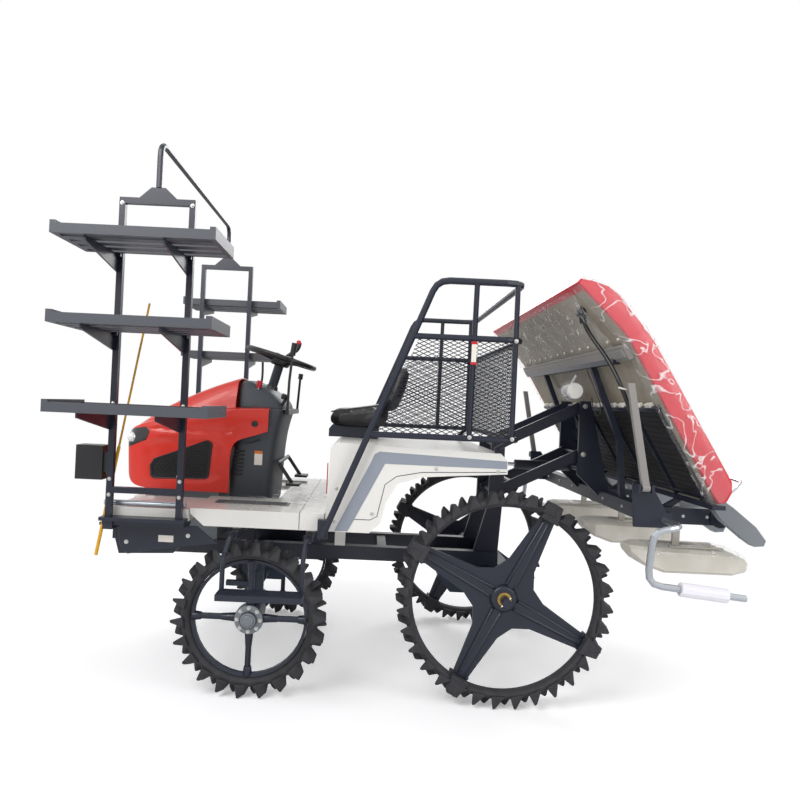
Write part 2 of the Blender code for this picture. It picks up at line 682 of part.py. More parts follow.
def nose_fittings():
    y = -RACK_Y
    holder = [box((-0.722, y - 0.020, 0.900), (-0.612, y + 0.060, 1.040)),
              box((-0.6125, y - 0.010, 0.930), (-0.583 - RACK_POST / 2 - GAP, y + 0.010, 1.010))]
    put("work_lamp_box", "frame_black", holder)
    foot = Vector((-0.650, -0.612, 0.575))
    top = Vector((-0.474, -0.612, 1.640))
    split = foot.lerp(top, 0.43)
    put("sight_pole", "pole_yellow",
            [tube([foot, split], 0.007, 8), tube([foot.lerp(top, 0.42), top], 0.0045, 8)])


# ---------------------------------------------------------------- guard behind the seat, steps
def guard():
    y, r = GUARD_Y, GUARD_TUBE_R
    rear = GUARD_REAR
    hoop = rounded([
        (0.296, -y, 0.700), (0.640, -y, 1.560), (0.728, -y, GUARD_TOP), (rear, -y, GUARD_TOP),
                (rear, y, GUARD_TOP),
        (0.728, y, GUARD_TOP), (0.640, y, 1.560), (0.296, y, 0.700)], 0.075, 3)
    pieces = [tube(hoop, r)]
    for z, front_x in ((BASKET_RIM, 0.638), (BASKET_FLOOR, 0.474)):
        loop = rounded([(front_x, -y, z), (rear, -y, z), (rear, y, z), (front_x, y, z)], 0.060, 3)
        pieces.append(tube(loop, r * 0.9))
    for side in (-1, 1):
        pieces.append(tube([(0.893, side * y, GUARD_TOP), (0.886, side * y, BASKET_FLOOR)], r * 0.8))
        post = [(1.064, side * (y - 0.007), GUARD_TOP - 0.006),
                (1.064, side * (y - 0.007), BASKET_FLOOR - 0.004),
                (1.015, side * 0.600, 1.095), (1.015, side * 0.600, BODY_TOP + 0.0011)]
        pieces.append(tube(post, r * 0.76))
        low, high = sorted((side * (BODY_HALF_WIDTH + GAP), side * y))
        pieces.append(box((0.276, low, 0.690), (0.318, high, 0.770)))
    put("guard_rail", "frame_black", pieces)


def basket():
    """The mesh round the basket, as one thin sheet just inside its tubes, slanted at its front ends."""
    sheet = 0.003
    y = GUARD_Y - GUARD_TUBE_R - GAP
    rear = GUARD_REAR - GUARD_TUBE_R - GAP

    def loop(inset, front_x, z):
        path = [(front_x, -y + inset, z), (rear - inset, -y + inset, z), (rear - inset, y - inset, z),
                (front_x, y - inset, z)]
        return rounded(path, 0.046, 3)

    low_z, high_z = BASKET_FLOOR, BASKET_RIM
    low_x, high_x = 0.500, 0.664
    rings = []
    for outer_low, inner_low, outer_high, inner_high in zip(
            loop(0, low_x, low_z), loop(sheet, low_x, low_z), loop(0, high_x, high_z),
                    loop(sheet, high_x, high_z)):
        rings.append([outer_low, inner_low, inner_high, outer_high])
    put("basket_mesh", "frame_black", [from_rings(rings)])


def steps(side):
    x0, x1 = STEP_X
    inner, outer = (side * value for value in STEP_Y)
    deck_y = side * (DECK_HALF_WIDTH - 0.012 + GAP)
    hang_y = side * (STEP_Y[0] + 0.015)
    r = 0.010
    tread = box((x0, min(inner, outer), STEP_TOP - 0.024), (x1, max(inner, outer), STEP_TOP))
    pieces = [tread]
    for x in (x0 + 0.010, x1 - 0.010):
        path = rounded([(x, deck_y, 0.680), (x, deck_y + side * 0.08, 0.680), (x, hang_y, 0.630),
                        (x, hang_y, STEP_TOP - 0.010)], 0.040, 2)
        pieces.append(tube(path, r))
    put(side_name("step", side), "frame_black", pieces)


# ---------------------------------------------------------------- lift linkage
def link_bar(pieces, start, end, y, width, depth):
    """A flat bar with eyes: two parallel sides at plus and minus y."""
    for side in (-1, 1):
        low, high = sorted((side * y, side * (y + width)))
        along = (Vector(end) - Vector(start)).normalized()
        up = Vector((-along.y, along.x))
        outline = []
        for point, sign in ((Vector(start), -1), (Vector(end), 1)):
            turn = range(7)
            for k in turn:
                angle = math.pi * k / 6
                offset = up * math.cos(angle) * (-sign if sign > 0 else 1) + along * math.sin(angle) * sign
                outline.append(point + offset * depth / 2)
        pieces.append(side_cut([(p.x, p.y) for p in outline], low, high))


def links():
    for name, lift, y in (("lower_link", 0.0, LINK_Y), ("upper_link", LINK_SPREAD_Z, LINK_Y)):
        front = (LINK_FRONT_X, LOWER_LINK_Z[0] + lift)
        rear = (LINK_REAR_X, LOWER_LINK_Z[1] + lift)
        pieces = []
        link_bar(pieces, front, rear, y, 0.014, 0.052)
        tie = [a * 0.78 + b * 0.22 for a, b in zip(front, rear)]
        pieces.append(rod_between((tie[0], -y - 0.007, tie[1]), (tie[0], y + 0.007, tie[1]), 0.016))
        solid = combined(pieces)
        for x, z in (front, rear):
            solid = cut(solid, rod_between((x, -0.3, z), (x, 0.3, z), PIN_R + RUNNING, 16))
        put(name, "frame_black", [solid], (front[0], 0, front[1]))


def lift_cylinder():
    pin, eye = Vector((BARREL_PIN[0], 0, BARREL_PIN[1])), Vector((ROD_EYE[0], 0, ROD_EYE[1]))
    along = (eye - pin).normalized()
    mouth = pin + along * 0.290
    barrel = tube([pin + along * 0.018, mouth], 0.024, 14)
    bore = tube([pin + along * 0.040, mouth + along * 0.02], 0.0098, 12)
    lug = turned([(0.022, -0.012), (0.022, 0.012)], BARREL_PIN, 14, closed=False)
    hole = disc(BARREL_PIN, PIN_R + RUNNING, -0.1, 0.1, 16)
    put("lift_barrel", "frame_black", [cut(combined([barrel, lug]), bore, hole)], pin)
    rod = tube([pin + along * 0.046, eye - along * 0.016], 0.0090, 12)
    ring = disc(ROD_EYE, 0.022, -0.010, 0.010, 14)
    eye_hole = disc(ROD_EYE, PIN_R + RUNNING, -0.1, 0.1, 16)
    put("lift_rod", "bare_pipe", [cut(combined([rod, ring]), eye_hole)], pin)


# ---------------------------------------------------------------- planting unit
def planting_frame():
    beam = box((BEAM_X - BEAM_HALF, -BEAM_HALF_LENGTH, BEAM_Z - BEAM_HALF),
               (BEAM_X + BEAM_HALF, BEAM_HALF_LENGTH, BEAM_Z + BEAM_HALF))
    pieces = [beam]
    lower = (LINK_REAR_X, LOWER_LINK_Z[1])
    upper = (LINK_REAR_X, LOWER_LINK_Z[1] + LINK_SPREAD_Z)
    for side in (-1, 1):
        low, high = sorted((side * 0.150, side * 0.166))
        pieces.append(side_cut([(1.496, 0.960), (1.540, 0.920), (1.605, BEAM_Z), (1.655, BEAM_Z),
                (1.600, 1.100),
                                (1.548, 1.320), (1.496, 1.320)], low, high))
    for x, z in (lower, upper, BARREL_PIN):
        pieces.append(rod_between((x, -0.160, z), (x, 0.160, z), PIN_R))
    pieces.append(box((1.560, -0.160, 1.120), (1.580, 0.160, 1.180)))
    for case_y in CASE_YS:
        arm = box((BEAM_X, case_y - 0.028, CASE_BOTTOM), (ROTOR_X, case_y + 0.028, CASE_TOP))
        boss = disc((ROTOR_X, ROTOR_Z), 0.044, case_y - 0.034, case_y + 0.034, 18)
        bore = disc((ROTOR_X, ROTOR_Z), ROTOR_SHAFT_R + RUNNING, case_y - 0.2, case_y + 0.2, 20)
        pieces.append(cut(combined([arm, boss]), bore))
        # stay from the case up to the lower tray rail
        pieces.append(side_cut([(1.710, 0.880), (1.755, 0.880), (1.815, 0.925), (1.785, 0.925)],
                               case_y - 0.010, case_y + 0.010))
    pieces.append(box((1.780, -0.900, 0.918), (1.830, 0.900, TRAY_BOTTOM - GAP)))
    for side in (-1, 1):
        y = side * 0.400
        pieces.append(tube([(BEAM_X, y, BEAM_Z), (1.605, y, 1.150), (1.466, y, 1.482)], 0.018, 4))
        low, high = sorted((side * 0.815, side * 0.830))
        pieces.append(side_cut([(1.515, 0.830), (1.640, 0.830), (1.640, 0.890), (1.570, 1.006),
                (1.505, 1.006)], low, high))
        x, z = MARKER_PIVOT
        y = side * MARKER_Y
        low, high = sorted((side * 0.822, side * (MARKER_Y + 0.012)))
        for ear_x in (x - 0.032, x + 0.020):
            pieces.append(box((ear_x, low, z - 0.018), (ear_x + 0.010, high, z + 0.014)))
        pieces.append(tube([(x - 0.034, y, z), (x + 0.032, y, z)], MARKER_PIN_R, 12))
    pieces.append(box((1.452, -0.700, 1.468), (1.4806, 0.700, 1.500)))
    put("planting_frame", "frame_black", pieces)


def rotor(name, case_y):
    """A shaft with a two-ended planting arm each side of its case."""
    shaft = rod_between((ROTOR_X, case_y - 0.170, ROTOR_Z), (ROTOR_X, case_y + 0.170, ROTOR_Z),
            ROTOR_SHAFT_R, 20)
    pieces = [shaft]
    for side in (-1, 1):
        low, high = sorted((case_y + side * 0.128, case_y + side * 0.172))
        tilt = math.radians(-38)
        outline = []
        for sign in (1, -1):
            for reach, across in ((0.060, -0.034), (0.105, -0.030), (ROTOR_REACH, -0.004),
                    (0.125, 0.018), (0.060, 0.034)):
                x, z = sign * reach, sign * across
                outline.append((ROTOR_X + x * math.cos(tilt) - z * math.sin(tilt),
                                ROTOR_Z + x * math.sin(tilt) + z * math.cos(tilt)))
        pieces.append(side_cut(outline, low, high))
    put(name, "cast_grey", pieces, (ROTOR_X, case_y, ROTOR_Z))


def tray():
    """A sloping panel with raised side strips, curled forward over its top."""
    outline = [
        (1.815, TRAY_BOTTOM), (1.447, 1.558), (1.399, 1.606), (1.300, 1.705), (1.240, 1.762),
                (1.252, 1.776),
        (1.360, 1.752), (1.429, 1.687), (1.546, 1.545), (1.863, 1.025), (1.866, 0.985), (1.846, 0.945),
    ]
    slab = side_cut(outline, -TRAY_HALF_WIDTH, TRAY_HALF_WIDTH)
    # six lanes open towards the rear, between the side strips and five fences
    lane = 2 * (TRAY_HALF_WIDTH - 0.020) / 6
    hollow = [(1.900, 0.930), (1.846, 0.932), (1.464, 1.572), (1.416, 1.622), (1.372, 1.700),
            (1.440, 1.760),
              (1.640, 1.600), (2.000, 1.000)]
    cutters = []
    for number in range(6):
        y0 = -TRAY_HALF_WIDTH + 0.020 + lane * number + 0.004
        cutters.append(side_cut(hollow, y0, y0 + lane - 0.008))
    put("seedling_tray", "tray_red", [cut(slab, *cutters)])


def floats():
    for name, y, half in (("float_left", -2 * ROW_SPACING, 0.105), ("float_centre", 0.0, 0.115),
                          ("float_right", 2 * ROW_SPACING, 0.105)):
        sections = (
            # x, half width share, bottom z, top z
            (1.575, 0.55, 0.690, 0.722),
            (1.620, 0.90, 0.650, FLOAT_TOP),
            (1.700, 1.00, FLOAT_BOTTOM, FLOAT_TOP),
            (1.980, 1.00, FLOAT_BOTTOM, FLOAT_TOP - 0.010),
            (2.040, 0.85, FLOAT_BOTTOM + 0.012, FLOAT_TOP - 0.035),
        )
        rings = []
        for x, share, bottom, top in sections:
            w = half * share
            rings.append([(x, y - w, bottom + 0.012), (x, y - w + 0.015, bottom),
                    (x, y + w - 0.015, bottom),
                          (x, y + w, bottom + 0.012), (x, y + w, top - 0.012), (x, y + w - 0.02, top),
                          (x, y - w + 0.02, top), (x, y - w, top - 0.012)])
        stay = box((1.770, y - 0.006, FLOAT_TOP - 0.006), (1.800, y + 0.006, CASE_BOTTOM - GAP))
        put(name, "float_white", [from_rings(rings), stay])


def side_guard(side):
    y = side * GUARD_PIPE_Y
    path = rounded([(BEAM_X, side * (BEAM_HALF_LENGTH + GAP), BEAM_Z), (BEAM_X, y, 0.862),
            (1.525, y, 0.840),
                    (1.508, y, 0.648), (1.870, y, 0.612)], 0.055, 3)
    put(side_name("side_guard", side), "bare_pipe", [tube(path, GUARD_PIPE_R, 10)])
    start, end = Vector((1.630, y, 0.0)), Vector((1.800, y, 0.0))
    start.z = 0.648 - 0.036 * (start.x - 1.508) / 0.362
    end.z = 0.648 - 0.036 * (end.x - 1.508) / 0.362
    sleeve = tube([start, end], FOAM_R, 12)
    hole = tube([start * 1.0 - (end - start) * 0.1, end + (end - start) * 0.1],
            GUARD_PIPE_R + GAP + 0.0004, 10)
    put(side_name("foam_sleeve", side), "foam_white", [cut(sleeve, hole)])


def marker_arm(side):
    """The line marker, folded up. It turns outwards about a pin that runs along the machine."""
    x, z = MARKER_PIVOT
    y = side * MARKER_Y
    low, high = sorted((y - side * 0.010, y + side * 0.010))
    post = side_cut([(x - 0.014, z), (x + 0.014, z), (1.478, 1.385), (1.452, 1.385)], low, high)
    eye = tube([(x - 0.014, y, z), (x + 0.014, y, z)], 0.014, 12)
    hole = tube([(x - 0.1, y, z), (x + 0.1, y, z)], MARKER_PIN_R + RUNNING, 12)
    put(side_name("marker_arm", side), "post_grey", [cut(combined([post, eye]), hole)], (x, y, z))


def main():
    clear_scene()
    for side in (-1, 1):
        front_wheel(side)
        rear_wheel(side)
    chassis()
    front_axle()
    rear_axle()
    front_carrier()
    deck()
    bonnet()
    dash()
    rear_body()
    for side in (-1, 1):
        rack(side)
        steps(side)
        side_guard(side)
        marker_arm(side)
    arch()
    nose_fittings()
    guard()
    basket()
    links()
    lift_cylinder()
    planting_frame()
    for name, case_y in zip(("rotor_left", "rotor_centre", "rotor_right"), CASE_YS):
        rotor(name, case_y)
    tray()
    floats()


main()
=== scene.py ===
# %% [markdown]
# # A ride-on rice transplanter
# The machine's solid model is the frame: every sub-part has its real size and place there. This lesson
# dresses it. Most steel and plastic nodes only get a better finish, and what a solid leaves plain, such as
# tyre lugs, woven mesh, bolts, lamps, film and belts, is modelled here and rides on the right body.

import math

import bmesh
import bpy
from mathutils import Matrix, Vector, noise
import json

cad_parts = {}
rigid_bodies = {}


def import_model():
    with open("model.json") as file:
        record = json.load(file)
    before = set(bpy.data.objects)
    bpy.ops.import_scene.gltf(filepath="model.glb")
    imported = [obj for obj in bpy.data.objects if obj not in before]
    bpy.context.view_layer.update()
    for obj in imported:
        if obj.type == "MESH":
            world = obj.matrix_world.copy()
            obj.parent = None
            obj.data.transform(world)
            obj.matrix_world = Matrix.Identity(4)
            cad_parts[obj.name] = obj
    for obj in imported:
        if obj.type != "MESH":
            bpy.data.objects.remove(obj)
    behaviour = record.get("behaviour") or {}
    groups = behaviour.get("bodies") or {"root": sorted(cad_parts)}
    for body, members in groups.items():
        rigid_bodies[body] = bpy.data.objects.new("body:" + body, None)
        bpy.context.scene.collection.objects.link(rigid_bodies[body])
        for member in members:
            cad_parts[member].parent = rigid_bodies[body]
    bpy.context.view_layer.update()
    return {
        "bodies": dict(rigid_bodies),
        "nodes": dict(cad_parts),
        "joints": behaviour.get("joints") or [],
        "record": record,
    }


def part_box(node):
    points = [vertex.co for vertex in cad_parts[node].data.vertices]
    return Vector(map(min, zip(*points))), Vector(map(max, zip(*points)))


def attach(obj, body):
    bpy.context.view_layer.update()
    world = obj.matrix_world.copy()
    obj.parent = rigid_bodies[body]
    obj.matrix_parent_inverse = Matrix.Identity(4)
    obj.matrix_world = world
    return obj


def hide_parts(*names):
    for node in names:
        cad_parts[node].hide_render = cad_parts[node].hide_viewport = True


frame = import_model()
NODES = frame["nodes"]
SLOT_OF = {part["node"]: part["material_slot"] for part in frame["record"]["subparts"]}
BODY_OF = {node: body for body, nodes in frame["record"]["behaviour"]["bodies"].items() for node in nodes}

# %% [markdown]
# The makers measure from the front axle: x runs to the rear, y to the right, z up from the ground. The frame
# is centred on its box, so one offset moves a place from the machine's measure to the frame's.

# %% Places and sizes
tyre_low, tyre_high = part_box("front_tyre_left")
AXLE_X = (tyre_low.x + tyre_high.x) / 2
FRONT_R = (tyre_high.x - tyre_low.x) / 2
rear_low, rear_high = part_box("rear_tyre_left")
REAR_X = (rear_low.x + rear_high.x) / 2 - AXLE_X

REAR_Z = 0.459
TRACK_Y = abs(tyre_low.y + tyre_high.y) / 2
SIDES = (-1, 1)


def place(x, y, z):
    """A point in the machine's measure, in the frame."""
    return Vector((x + AXLE_X, y, z))


def side_name(stem, side):
    return stem + ("_left" if side < 0 else "_right")


print(f"front axle at {AXLE_X:.4f}, rear axle {REAR_X:.3f} behind it, wheels at y {TRACK_Y:.3f}")
# %% [markdown]
# A finish starts from what the real surface is. Colours are written as they look on a screen, so one
# function turns them into the linear values that a shader mixes. One function adds a shader node with its
# settings and links.

# %% Helpers for materials
def linear(code):
    """A screen colour such as "8A8684" as linear red, green, blue and alpha."""
    parts = [int(code[start : start + 2], 16) / 255 for start in (0, 2, 4)]
    return [c / 12.92 if c <= 0.04045 else ((c + 0.055) / 1.055) ** 2.4 for c in parts] + [1.0]


def add_node(tree, kind, values=None, links=None, **settings):
    made = tree.nodes.new(kind)
    for name, value in settings.items():
        setattr(made, name, value)
    for socket, value in (values or {}).items():
        made.inputs[socket].default_value = value
    for socket, source in (links or {}).items():
        tree.links.new(source, made.inputs[socket])
    return made


def surface(name, colour, roughness, metallic=0.0, grain_mm=0.0, depth_mm=0.0, coat=0.0, shade=None,
    spot_mm=60.0, alpha=1.0):
    """A plain finish. grain_mm and depth_mm give a fine relief, shade a second colour in soft spots."""
    made = bpy.data.materials.new(name)
    made.use_nodes = True
    tree = made.node_tree
    shader = tree.nodes["Principled BSDF"]
    for socket, value in {
        "Base Color": linear(colour),
        "Roughness": roughness,
        "Metallic": metallic,
        "Coat Weight": coat,
        "Coat Roughness": 0.08,
        "Alpha": alpha,
    }.items():
        shader.inputs[socket].default_value = value
    where = add_node(tree, "ShaderNodeTexCoord").outputs["Object"]
    if grain_mm:
        # 1000 / grain is the number of grains in a metre.
        grain = add_node(tree, "ShaderNodeTexNoise", {"Scale": 1000 / grain_mm, "Detail": 2.0},
            {"Vector": where})
        relief = add_node(
            tree,
            "ShaderNodeBump",
            {"Strength": 1.0, "Distance": depth_mm / 1000},
            {"Height": grain.outputs["Fac"]},
        )
        tree.links.new(relief.outputs["Normal"], shader.inputs["Normal"])
    if shade:
        spots = add_node(tree, "ShaderNodeTexNoise", {"Scale": 1000 / spot_mm, "Detail": 4.0},
            {"Vector": where})
        tree.links.new(mix_colours(tree, spots.outputs["Fac"], colour, shade), shader.inputs["Base Color"])
    return made


def mix_colours(tree, factor, first, second):
    ramp = add_node(tree, "ShaderNodeValToRGB", links={"Fac": factor})
    ramp.color_ramp.elements[0].position = 0.35
    ramp.color_ramp.elements[0].color = linear(first)
    ramp.color_ramp.elements[1].position = 0.70
    ramp.color_ramp.elements[1].color = linear(second)
    return ramp.outputs["Color"]


# %% Finishes
# Powder-coated tube steel: a satin navy black with a faint orange-peel relief.
POWDER_COAT = surface("powder_coated_steel", "1D2130", 0.36, grain_mm=2.5, depth_mm=0.05)
# Moulded tyre rubber: dull, with dust in its hollows.
TYRE_RUBBER = surface("moulded_tyre_rubber", "29292C", 0.72, grain_mm=1.5, depth_mm=0.08,
    shade="35353A", spot_mm=45)
# Baked red enamel on pressed steel: deep gloss under a clear coat.
RED_ENAMEL = surface("baked_red_enamel", "DB2F20", 0.34, coat=0.25)
# Injection-moulded red plastic: glossy, a little more pink than the enamel.
RED_PLASTIC = surface("moulded_red_plastic", "CF1F33", 0.30, coat=0.2)
# Baked white enamel: warm white.
WHITE_ENAMEL = surface("baked_white_enamel", "E6E4DF", 0.30, coat=0.3)
# Textured ABS: dark slate, a leather-like grain of about 1.2 mm.
SLATE_ABS = surface("textured_slate_abs", "3A3F46", 0.50, grain_mm=1.2, depth_mm=0.06)
# Polypropylene shelf moulding: dark grey, satin.
SHELF_PP = surface("shelf_polypropylene", "484B52", 0.46, grain_mm=1.5, depth_mm=0.04)
# Seat vinyl: black with a fine leather grain.
SEAT_VINYL = surface("seat_vinyl", "1C1C1F", 0.42, grain_mm=3.0, depth_mm=0.16)
# Control plastic: black, nearly smooth.
CONTROL_ABS = surface("control_black_abs", "1A1A1D", 0.40)
# Painted cast iron, grey: rough from the sand mould.
CAST_GREY = surface("painted_cast_iron_grey", "7D8287", 0.45, metallic=0.3, grain_mm=3.0, depth_mm=0.15)
# Painted cast iron, blue black.
CAST_BLUE = surface("painted_cast_iron_blue", "1F2C3F", 0.42, grain_mm=3.0, depth_mm=0.15)
# Blow-moulded polyethylene float: off-white, waxy.
FLOAT_PE = surface("blow_moulded_polyethylene", "D3CFC5", 0.42, shade="C4BFB3", spot_mm=120)
# Polyethylene foam sleeve: white with a slight violet cast, dull and cellular.
FOAM = surface("polyethylene_foam", "EFEDF4", 0.85, grain_mm=2.0, depth_mm=0.3)
# Drawn aluminium pipe.
BARE_PIPE = surface("drawn_aluminium_pipe", "B4B9BF", 0.32, metallic=0.9)
# Glass-fibre pole, yellow.
YELLOW_POLE = surface("yellow_glass_fibre", "DDA300", 0.35)
# Painted flat bar, warm grey.
GREY_BAR = surface("painted_grey_flat_bar", "8C8885", 0.40)
# Hard-chromed rod and zinc-plated bolts.
CHROME = surface("hard_chrome", "D8DADC", 0.12, metallic=1.0)
ZINC = surface("zinc_plated_bolt", "C9C9C6", 0.34, metallic=0.9)
# Black expanded steel, enamelled.
MESH_STEEL = surface("enamelled_expanded_steel", "20232E", 0.42)
# Other small finishes.
STRIPE_GREY = surface("screen_printed_grey_band", "8E95A0", 0.38)
RED_GRIP = surface("red_grip_plastic", "C5222B", 0.35)
LABEL_WHITE = surface("blank_label_film", "E9E4DA", 0.35)
LABEL_ORANGE = surface("blank_label_orange", "E07A2A", 0.40)
BEIGE_BELT = surface("beige_rubber_mat", "A79F90", 0.62, shade="998F7E", spot_mm=50)
LAMP_GLASS = surface("lamp_reflector_glass", "F3F2EC", 0.08, coat=0.6)
GREY_PLASTIC = surface("pale_grey_plastic", "C2C4C6", 0.42)
BELT_BLACK = surface("black_feed_belt_rubber", "1D1D20", 0.62, grain_mm=4, depth_mm=0.4)

FINISH_OF_SLOT = {
    "frame_black": POWDER_COAT,
    "rubber": TYRE_RUBBER,
    "bonnet_red": RED_ENAMEL,
    "tray_red": RED_PLASTIC,
    "body_white": WHITE_ENAMEL,
    "slate": SLATE_ABS,
    "shelf_grey": SHELF_PP,
    "seat_black": SEAT_VINYL,
    "control_black": CONTROL_ABS,
    "cast_grey": CAST_GREY,
    "axle_blue": CAST_BLUE,
    "float_white": FLOAT_PE,
    "foam_white": FOAM,
    "bare_pipe": BARE_PIPE,
    "pole_yellow": YELLOW_POLE,
    "post_grey": GREY_BAR,
    "chrome": CHROME,
}
for name, obj in NODES.items():
    obj.data.materials.clear()
    obj.data.materials.append(FINISH_OF_SLOT[SLOT_OF[name]])
print("finishes:", len(bpy.data.materials))
# %% [markdown]
# A few tools model every small piece: a block with broken edges, a rod between two points, a pipe along a
# route, and a copy turned about an axis. Each leaves its place in the mesh, so a piece sits at the origin,
# and `dress` gives it its finish and the body that it rides on.

# %% Modelling tools
def clear_selection():
    bpy.ops.object.select_all(action="DESELECT")


def settle(obj):
    """Moves the object's place, turn and scale into its mesh."""
    clear_selection()
    obj.select_set(True)
    bpy.context.view_layer.objects.active = obj
    bpy.ops.object.transform_apply(location=True, rotation=True, scale=True)
    return obj


def shaped(obj, kind, **settings):
    """Adds one modifier and applies it."""
    modifier = obj.modifiers.new(kind.lower(), kind)
    for name, value in settings.items():
        setattr(modifier, name, value)
    bpy.context.view_layer.objects.active = obj
    bpy.ops.object.modifier_apply(modifier=modifier.name)
    return obj


def broken_edges(obj, width, segments=2):
    return shaped(obj, "BEVEL", width=width, segments=segments, limit_method="ANGLE",
        angle_limit=math.radians(30))


def block(low, high, edge=0.002, segments=1):
    low, high = Vector(low), Vector(high)
    clear_selection()
    bpy.ops.mesh.primitive_cube_add(size=1, location=(low + high) / 2)
    obj = bpy.context.object
    obj.scale = [abs(c) for c in high - low]
    settle(obj)
    return broken_edges(obj, edge, segments) if edge else obj


def rod(start, end, radius, sides=16, edge=0.0, end_radius=None):
    start, end = Vector(start), Vector(end)
    clear_selection()
    bpy.ops.mesh.primitive_cone_add(
        vertices=sides,
        radius1=radius,
        radius2=radius if end_radius is None else end_radius,
        depth=(end - start).length,
        location=(start + end) / 2,
        rotation=(end - start).to_track_quat("Z", "Y").to_euler(),
    )
    obj = settle(bpy.context.object)
    return broken_edges(obj, edge) if edge else obj


def pipe(points, radius, sides=4, steps=6, cyclic=False, smooth_line=True):
    """A round tube along a route. Its curve passes near each point, and through the first and the last."""
    line = bpy.data.curves.new("route", "CURVE")
    line.dimensions = "3D"
    spline = line.splines.new("NURBS" if smooth_line else "POLY")
    spline.points.add(len(points) - 1)
    for point, spot in zip(spline.points, points):
        point.co = (*spot, 1.0)
    spline.use_cyclic_u = cyclic
    if smooth_line:
        spline.order_u = 3
        spline.use_endpoint_u = not cyclic
        spline.resolution_u = steps
    line.bevel_depth = radius
    line.bevel_resolution = sides
    line.use_fill_caps = not cyclic
    obj = bpy.data.objects.new("route", line)
    bpy.context.scene.collection.objects.link(obj)
    clear_selection()
    obj.select_set(True)
    bpy.context.view_layer.objects.active = obj
    bpy.ops.object.convert(target="MESH")
    return bpy.context.object


def plate(outline, axis, low, high, edge=0.001):
    """A flat plate: an outline on the plane across the axis, thickened from low to high."""
    order = {"x": (2, 0, 1), "y": (0, 2, 1), "z": (0, 1, 2)}[axis]
    mesh = bpy.data.meshes.new("plate")
    spots = []
    for first, second in outline:
        spots.append([(first, second, low)[i] for i in order])
    mesh.from_pydata(spots, [], [range(len(spots))])
    obj = bpy.data.objects.new("plate", mesh)
    bpy.context.scene.collection.objects.link(obj)
    clear_selection()
    obj.select_set(True)
    bpy.context.view_layer.objects.active = obj
    bpy.ops.object.mode_set(mode="EDIT")
    bpy.ops.mesh.select_all(action="SELECT")
    shift = [0, 0, 0]
    shift["xyz".index(axis)] = high - low
    bpy.ops.mesh.extrude_region_move(TRANSFORM_OT_translate={"value": shift})
    bpy.ops.mesh.select_all(action="SELECT")
    bpy.ops.mesh.normals_make_consistent(inside=False)
    bpy.ops.object.mode_set(mode="OBJECT")
    return broken_edges(obj, edge, 1) if edge else obj


def joined(pieces):
    if len(pieces) == 1:
        return pieces[0]
    clear_selection()
    for obj in pieces:
        obj.select_set(True)
    bpy.context.view_layer.objects.active = pieces[0]
    bpy.ops.object.join()
    return bpy.context.object


def turned_copy(obj, angle, centre, axis="Y"):
    """A copy with its own mesh, turned about an axis through centre."""
    made = obj.copy()
    made.data = obj.data.copy()
    bpy.context.scene.collection.objects.link(made)
    centre = Vector(centre)
    made.data.transform(Matrix.Translation(centre) @ Matrix.Rotation(angle, 4,
        axis) @ Matrix.Translation(-centre))
    return made


def dress(pieces, name, finish, body, smooth=35.0):
    """Joins the pieces, names them, and gives them their finish and the body they ride on."""
    obj = joined(pieces if isinstance(pieces, list) else [pieces])
    obj.name = name
    obj.data.name = name
    obj.data.materials.clear()
    obj.data.materials.append(finish)
    clear_selection()
    obj.select_set(True)
    bpy.context.view_layer.objects.active = obj
    if smooth:
        bpy.ops.object.shade_smooth_by_angle(angle=math.radians(smooth))
    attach(obj, body)
    return obj


def bolt(spot, direction, size=0.008, height=0.006):
    """A hexagon head on a thin washer, standing on spot and facing along direction."""
    spot, direction = Vector(spot), Vector(direction).normalized()
    washer = rod(spot, spot + direction * height * 0.25, size * 1.15, sides=14)
    head = rod(spot, spot + direction * height, size * 0.85, sides=6, edge=size * 0.12)
    return joined([washer, head])


# %% [markdown]
# ## Wheels
# Paddy wheels carry solid rubber rings. Tall pointed lugs push the mud back, so the ring itself is thin. A
# torus makes the ring, one tapered lug is modelled, and copies of it are turned about the axle.

# %% Tyres
def tapered_lug(centre, base_radius, tip_radius, width, base, tip, lean, skew, y_shift):
    """One lug at the top of the wheel: a block whose upper face is drawn in and moved along by lean."""
    obj = block(
        centre + Vector((-base / 2, y_shift - width / 2, base_radius)),
        centre + Vector((base / 2, y_shift + width / 2, tip_radius)),
        0,
    )
    middle = centre.z + (base_radius + tip_radius) / 2
    for vertex in obj.data.vertices:
        offset = vertex.co - centre
        if vertex.co.z > middle:
            offset.x = offset.x * tip / base + lean
            offset.y = y_shift + (offset.y - y_shift) * 0.86
        offset.x += skew * abs(offset.y)
        vertex.co = centre + offset
    return broken_edges(obj, 0.003, 1)


def lugged_tyre(name, centre, ring_radius, ring_section, ring_width, lugs, body):
    clear_selection()
    bpy.ops.mesh.primitive_torus_add(
        major_radius=ring_radius,
        minor_radius=ring_section,
        major_segments=96,
        minor_segments=16,
        location=centre,
        rotation=(math.radians(90), 0, 0),
    )
    ring = bpy.context.object
    ring.scale.z = ring_width / (2 * ring_section)
    settle(ring)
    pieces = [ring]
    for count, first, shape in lugs:
        lug = tapered_lug(centre, **shape)
        for i in range(count):
            pieces.append(turned_copy(lug, first + 2 * math.pi * i / count, centre))
        bpy.data.objects.remove(lug)
    return dress(pieces, name, TYRE_RUBBER, body)


